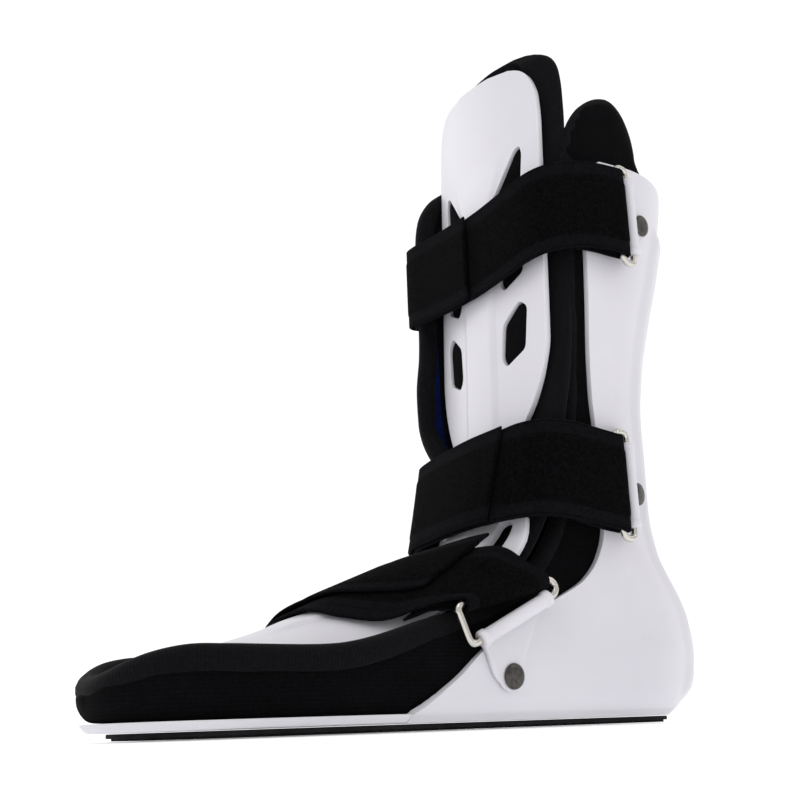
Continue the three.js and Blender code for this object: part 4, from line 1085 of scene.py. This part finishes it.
# Rings, anchor tabs and rivets
ringLook = {"spare": 0.8, "corner": 3.4}
anchorLook = {"sleeveRadius": 3.1, "sleeveLength": 37.0, "collarRadius": 3.5, "collarLength": 3.2,
              "flapThickness": 1.6, "seat": 0.5, "bevel": 0.5}
rivetLook = {"headRadius": 5.0, "headHeight": 1.5, "shank": 2.0}
anchors = [
    {"name": "upper", "side": 1, "along": 0.067, "up": 0.89, "tilt": 0, "reach": 9.7, "skew": 0},
    {"name": "ankle", "side": 1, "along": 0.052, "up": 0.397, "tilt": 0, "reach": 8, "skew": -2},
    {"name": "instep", "side": 1, "along": -0.192, "up": 0.164, "tilt": 63, "reach": 19, "skew": -10},
    {"name": "upper", "side": -1, "along": 0.067, "up": 0.89, "tilt": 0, "reach": 9.7, "skew": 0},
    {"name": "ankle", "side": -1, "along": 0.052, "up": 0.397, "tilt": 0, "reach": 8, "skew": -2},
    {"name": "instep", "side": -1, "along": -0.385, "up": 0.11, "tilt": 70, "reach": 12, "skew": -3},
]


def placeName(anchor):
    return anchor["name"] + ("_lateral" if anchor["side"] > 0 else "_medial")


def anchorPoint(anchor, across, down, off):
    a = math.radians(anchor["tilt"])
    y = anchor["along"] * footLength + across * math.sin(a) + down * math.cos(a)
    z = anchor["up"] * shellHeight + across * math.cos(a) - down * math.sin(a)
    return np.array([float(formX(anchor["side"], y, z, off)), y, z])


def sleeveCentre(anchor):
    middle = anchorPoint(anchor, 0, 0, 0)
    half = anchorLook["sleeveLength"] / 2
    reach = max(abs(anchorPoint(anchor, k * half, 0, 0)[0]) for k in (-1, -0.5, 0, 0.5, 1))
    middle[0] = anchor["side"] * (reach + gap + anchorLook["sleeveRadius"] + 0.2)
    return middle


def buildRing(anchor, wire):
    leg, legRun = wire
    half = strapWidth / 2 + wireRadius + ringLook["spare"]
    corner = ringLook["corner"]
    a = math.radians(anchor["tilt"])
    sleeve, sleeveRun = sleeveCentre(anchor), np.array([0, math.sin(a), math.cos(a)])
    sleeveRun, legRun = sleeveRun * half, legRun * half
    corners = np.array([sleeve + sleeveRun, leg + legRun, leg - legRun, sleeve - sleeveRun])
    path = []
    for i, at in enumerate(corners):
        before, after = corners[i - 1] - at, corners[(i + 1) % 4] - at
        before, after = before / np.linalg.norm(before) * corner, after / np.linalg.norm(after) * corner
        for t in np.linspace(0, 1, 9):
            path.append(at + before * (1 - t) ** 2 + after * t * t)
        nextAt = corners[(i + 1) % 4]
        start, stop = at + after, nextAt - after
        for t in np.linspace(0, 1, 8)[1:-1]:
            path.append(start + (stop - start) * t)
    node = "ring_" + placeName(anchor)
    ring = tubeObject(node + "_looks", path, wireRadius)
    return dress(ring, "wire", [node])


def buildAnchorTab(anchor):
    a = math.radians(anchor["tilt"])
    axis = np.array([0, math.sin(a), math.cos(a)])
    centre = sleeveCentre(anchor)
    half, collar = anchorLook["sleeveLength"] / 2, anchorLook["collarLength"]
    r, big = anchorLook["sleeveRadius"] - 0.15, anchorLook["collarRadius"]
    end = [(r - 1.1, half), (big - 0.5, half), (big, half - 0.5), (big, half - collar + 0.5),
           (big - 0.4, half - collar), (r, half - collar - 0.5)]
    profile = [(radius, -off) for radius, off in end] + [(r, 0)] + end[::-1]
    sleeve = latheObject("sleeve", profile, centre, axis)
    tip = 1.24 * rivetLook["headRadius"]
    reach = anchor["reach"]
    shape = [(0, half), (reach / 2, half / 2 + tip / 2), (reach, tip)]
    turns = np.radians((12, 24, 36, 48, 60, 71, 81, 88))
    shape += [(reach + tip * math.sin(a), tip * math.cos(a)) for a in turns]
    shape = np.array(shape)
    rows = []
    off = anchorLook["seat"] + anchorLook["flapThickness"]
    downs = [np.linspace(0, reach, 16), reach + tip * np.sin(np.radians(np.arange(8, 89, 8)))]
    for down in np.concatenate(downs):
        wide = float(np.interp(down, shape[:, 0], shape[:, 1]))
        skew = anchor["skew"] * float(smoothStep(down, 0, reach))
        rows.append([anchorPoint(anchor, k * wide + skew, down, off) for k in np.linspace(-1, 1, 25)])
    flap = makeObject("flap", np.array(rows).reshape(-1, 3), gridFaces(len(rows), 25))
    turn = sum(p.normal.x for p in flap.data.polygons) * anchor["side"]
    if turn < 0:
        flap.data.flip_normals()
    modifier(flap, "SOLIDIFY", thickness=anchorLook["flapThickness"] * 0.001, offset=-1.0)
    modifier(flap, "BEVEL", width=anchorLook["bevel"] * 0.001, segments=2, limit_method="ANGLE",
             angle_limit=math.radians(60))
    applyModifiers(flap)
    node = "anchor_tab_" + placeName(anchor)
    tab = joinObjects(node + "_looks", [sleeve, flap])
    markSharp(tab, 50)
    return dress(tab, "shell", [node])


def buildRivet(anchor):
    place = anchorPoint(anchor, anchor["skew"], anchor["reach"], 0)
    alongY = formX(anchor["side"], place[1] + 2, place[2]) - formX(anchor["side"], place[1] - 2, place[2])
    alongZ = formX(anchor["side"], place[1], place[2] + 2) - formX(anchor["side"], place[1], place[2] - 2)
    out = np.array([4.0, -float(alongY), -float(alongZ)]) * anchor["side"]
    under = anchorLook["seat"] + anchorLook["flapThickness"] + 0.1
    radius, height = rivetLook["headRadius"], rivetLook["headHeight"]
    profile = [(rivetLook["shank"], -2.2), (rivetLook["shank"], under), (radius - 0.2, under)]
    for a in np.radians(np.linspace(0, 84, 9)):
        profile.append((radius * math.cos(a) ** 0.6, under + 0.25 + height * math.sin(a)))
    node = "rivet_" + placeName(anchor)
    rivet = latheObject(node + "_looks", profile, place, out)
    markSharp(rivet, 60)
    return dress(rivet, "rivet", [node])


for name, strap in straps.items():
    lows, highs, wires = strapCourse(strap)
    dress(strapObject(f"strap_{name}_looks", lows, highs), "strap", [f"strap_{name}"])
    for anchor in anchors:
        if anchor["name"] == name:
            buildRing(anchor, wires[0] if anchor["side"] > 0 else wires[1])
            buildAnchorTab(anchor)
            buildRivet(anchor)
print("straps, rings and anchors done")

# Sole pad
solePad = {"ribPitch": 5.0, "ribWidth": 3.4, "ribDepth": 0.9, "toeBack": 7.0, "edge": 0.6, "ribInset": 1.5}


def buildSolePad():
    base = solePad["ribDepth"]
    levels = [(base, 0.3), (base + 0.3, 0.0), (padThickness - 0.3, 0.0), (padThickness, 0.3)]
    outlines = []
    for z, inset in levels:
        loop = planOutline(plateBottom, solePad["edge"] + inset, solePad["toeBack"])
        loop[:, 2] = z
        outlines.append(loop)
    parts = [slabObject("pad", outlines)]
    rim = planOutline(plateBottom, solePad["edge"] + solePad["ribInset"], solePad["toeBack"])
    sides = [rim[rim[:, 0] > 0], rim[rim[:, 0] < 0]]
    reach = [s[np.argsort(s[:, 1])] for s in sides]
    front, back = rim[:, 1].min() + 3, rim[:, 1].max() - 3
    for middle in np.arange(front + 2, back - 2, solePad["ribPitch"]):      # the tread's cross ribs
        ys = (middle - solePad["ribWidth"] / 2, middle + solePad["ribWidth"] / 2)
        corners = []
        for z, draw in ((0.0, 0.35), (base + 0.1, 0.0)):
            for y, turn in ((ys[0] + draw, 1), (ys[1] - draw, -1)):
                ends = [float(np.interp(y, s[:, 1], s[:, 0])) for s in reach]
                corners += [(x, y, z) for x in ends[::turn]]
        parts.append(prismObject("rib", corners[:4], corners[4:]))
    pad = joinObjects("sole_pad_looks", parts)
    markSharp(pad, 40)
    return dress(pad, "tread", ["sole_pad"])


buildSolePad()
print("sole pad done")

# Floor, light and camera
stageLook = {"floor": "#F6F6F7", "glow": 0.3, "world": 0.67, "key": 3.5, "fill": 1.25, "rim": 1.0,
             "drop": 0.4, "flat": 600, "bend": 1500, "wide": 6000, "turn": 60.9}
cameraLook = {"place": (411.75, -303.75, 2.0), "yaw": 29.197, "pitch": 16.155, "roll": -1.977, "lens": 50.6}


def buildStage():
    drop, flat, bend, wide = [stageLook[name] for name in ("drop", "flat", "bend", "wide")]
    rows = [(-wide / 2, -drop), (0, -drop), (flat, -drop)]
    for a in np.radians(np.arange(6, 91, 6)):
        rows.append((flat + bend * math.sin(a), bend * (1 - math.cos(a)) - drop))
    rows += [(flat + bend, wide)]
    turn = math.radians(stageLook["turn"])          # the sweep stands square to the camera's view
    away = np.array([-math.sin(turn), math.cos(turn)])
    along = np.array([math.cos(turn), math.sin(turn)])
    points = [(*(away * d + along * w), z) for d, z in rows for w in (-wide, wide)]
    sweep = makeObject("floor_sweep", points, gridFaces(len(rows), 2))
    material, tree, shader = newMaterial("pale_floor", stageLook["floor"], 0.75, Specular_IOR_Level=0.1,
                                         Emission_Color=(1, 1, 1, 1), Emission_Strength=stageLook["glow"])
    sweep.data.materials.append(material)
    world = bpy.context.scene.world or bpy.data.worlds.new("studio")
    bpy.context.scene.world = world
    world.use_nodes = True
    background = world.node_tree.nodes["Background"]
    background.inputs["Color"].default_value = (1, 1, 1, 1)
    background.inputs["Strength"].default_value = stageLook["world"]
    lights = [("key", (0.6, -1.0, 1.3), 0.9), ("fill", (-1.2, -0.6, 0.8), 0.8), ("rim", (0.9, 0.9, 0.9), 0.6)]
    for name, place, size in lights:
        data = bpy.data.lights.new(name, "AREA")
        data.energy, data.size = stageLook[name], size
        lamp = bpy.data.objects.new(name, data)
        lamp.location = place
        lamp.rotation_euler = (Vector((0, -0.05, 0.13)) - Vector(place)).to_track_quat("-Z", "Y").to_euler()
        bpy.context.scene.collection.objects.link(lamp)


def buildCamera():
    yaw, pitch, roll = [math.radians(cameraLook[name]) for name in ("yaw", "pitch", "roll")]
    forward = np.array([-math.cos(yaw) * math.cos(pitch), math.sin(yaw) * math.cos(pitch), math.sin(pitch)])
    right = np.cross(forward, [0, 0, 1.0])
    right /= np.linalg.norm(right)
    up = np.cross(right, forward)
    right, up = right * math.cos(roll) + up * math.sin(roll), up * math.cos(roll) - right * math.sin(roll)
    data = bpy.data.cameras.new("camera")
    data.lens, data.sensor_width, data.clip_start = cameraLook["lens"], 36.0, 0.01
    camera = bpy.data.objects.new("camera", data)
    matrix = np.eye(4)
    matrix[:3, :] = np.column_stack([right, up, -forward, np.array(cameraLook["place"]) * 0.001])
    camera.matrix_world = Matrix(matrix.tolist())
    bpy.context.scene.collection.objects.link(camera)
    bpy.context.scene.camera = camera


buildStage()
buildCamera()
bpy.context.scene.view_settings.view_transform = "Standard"
print("stage done")
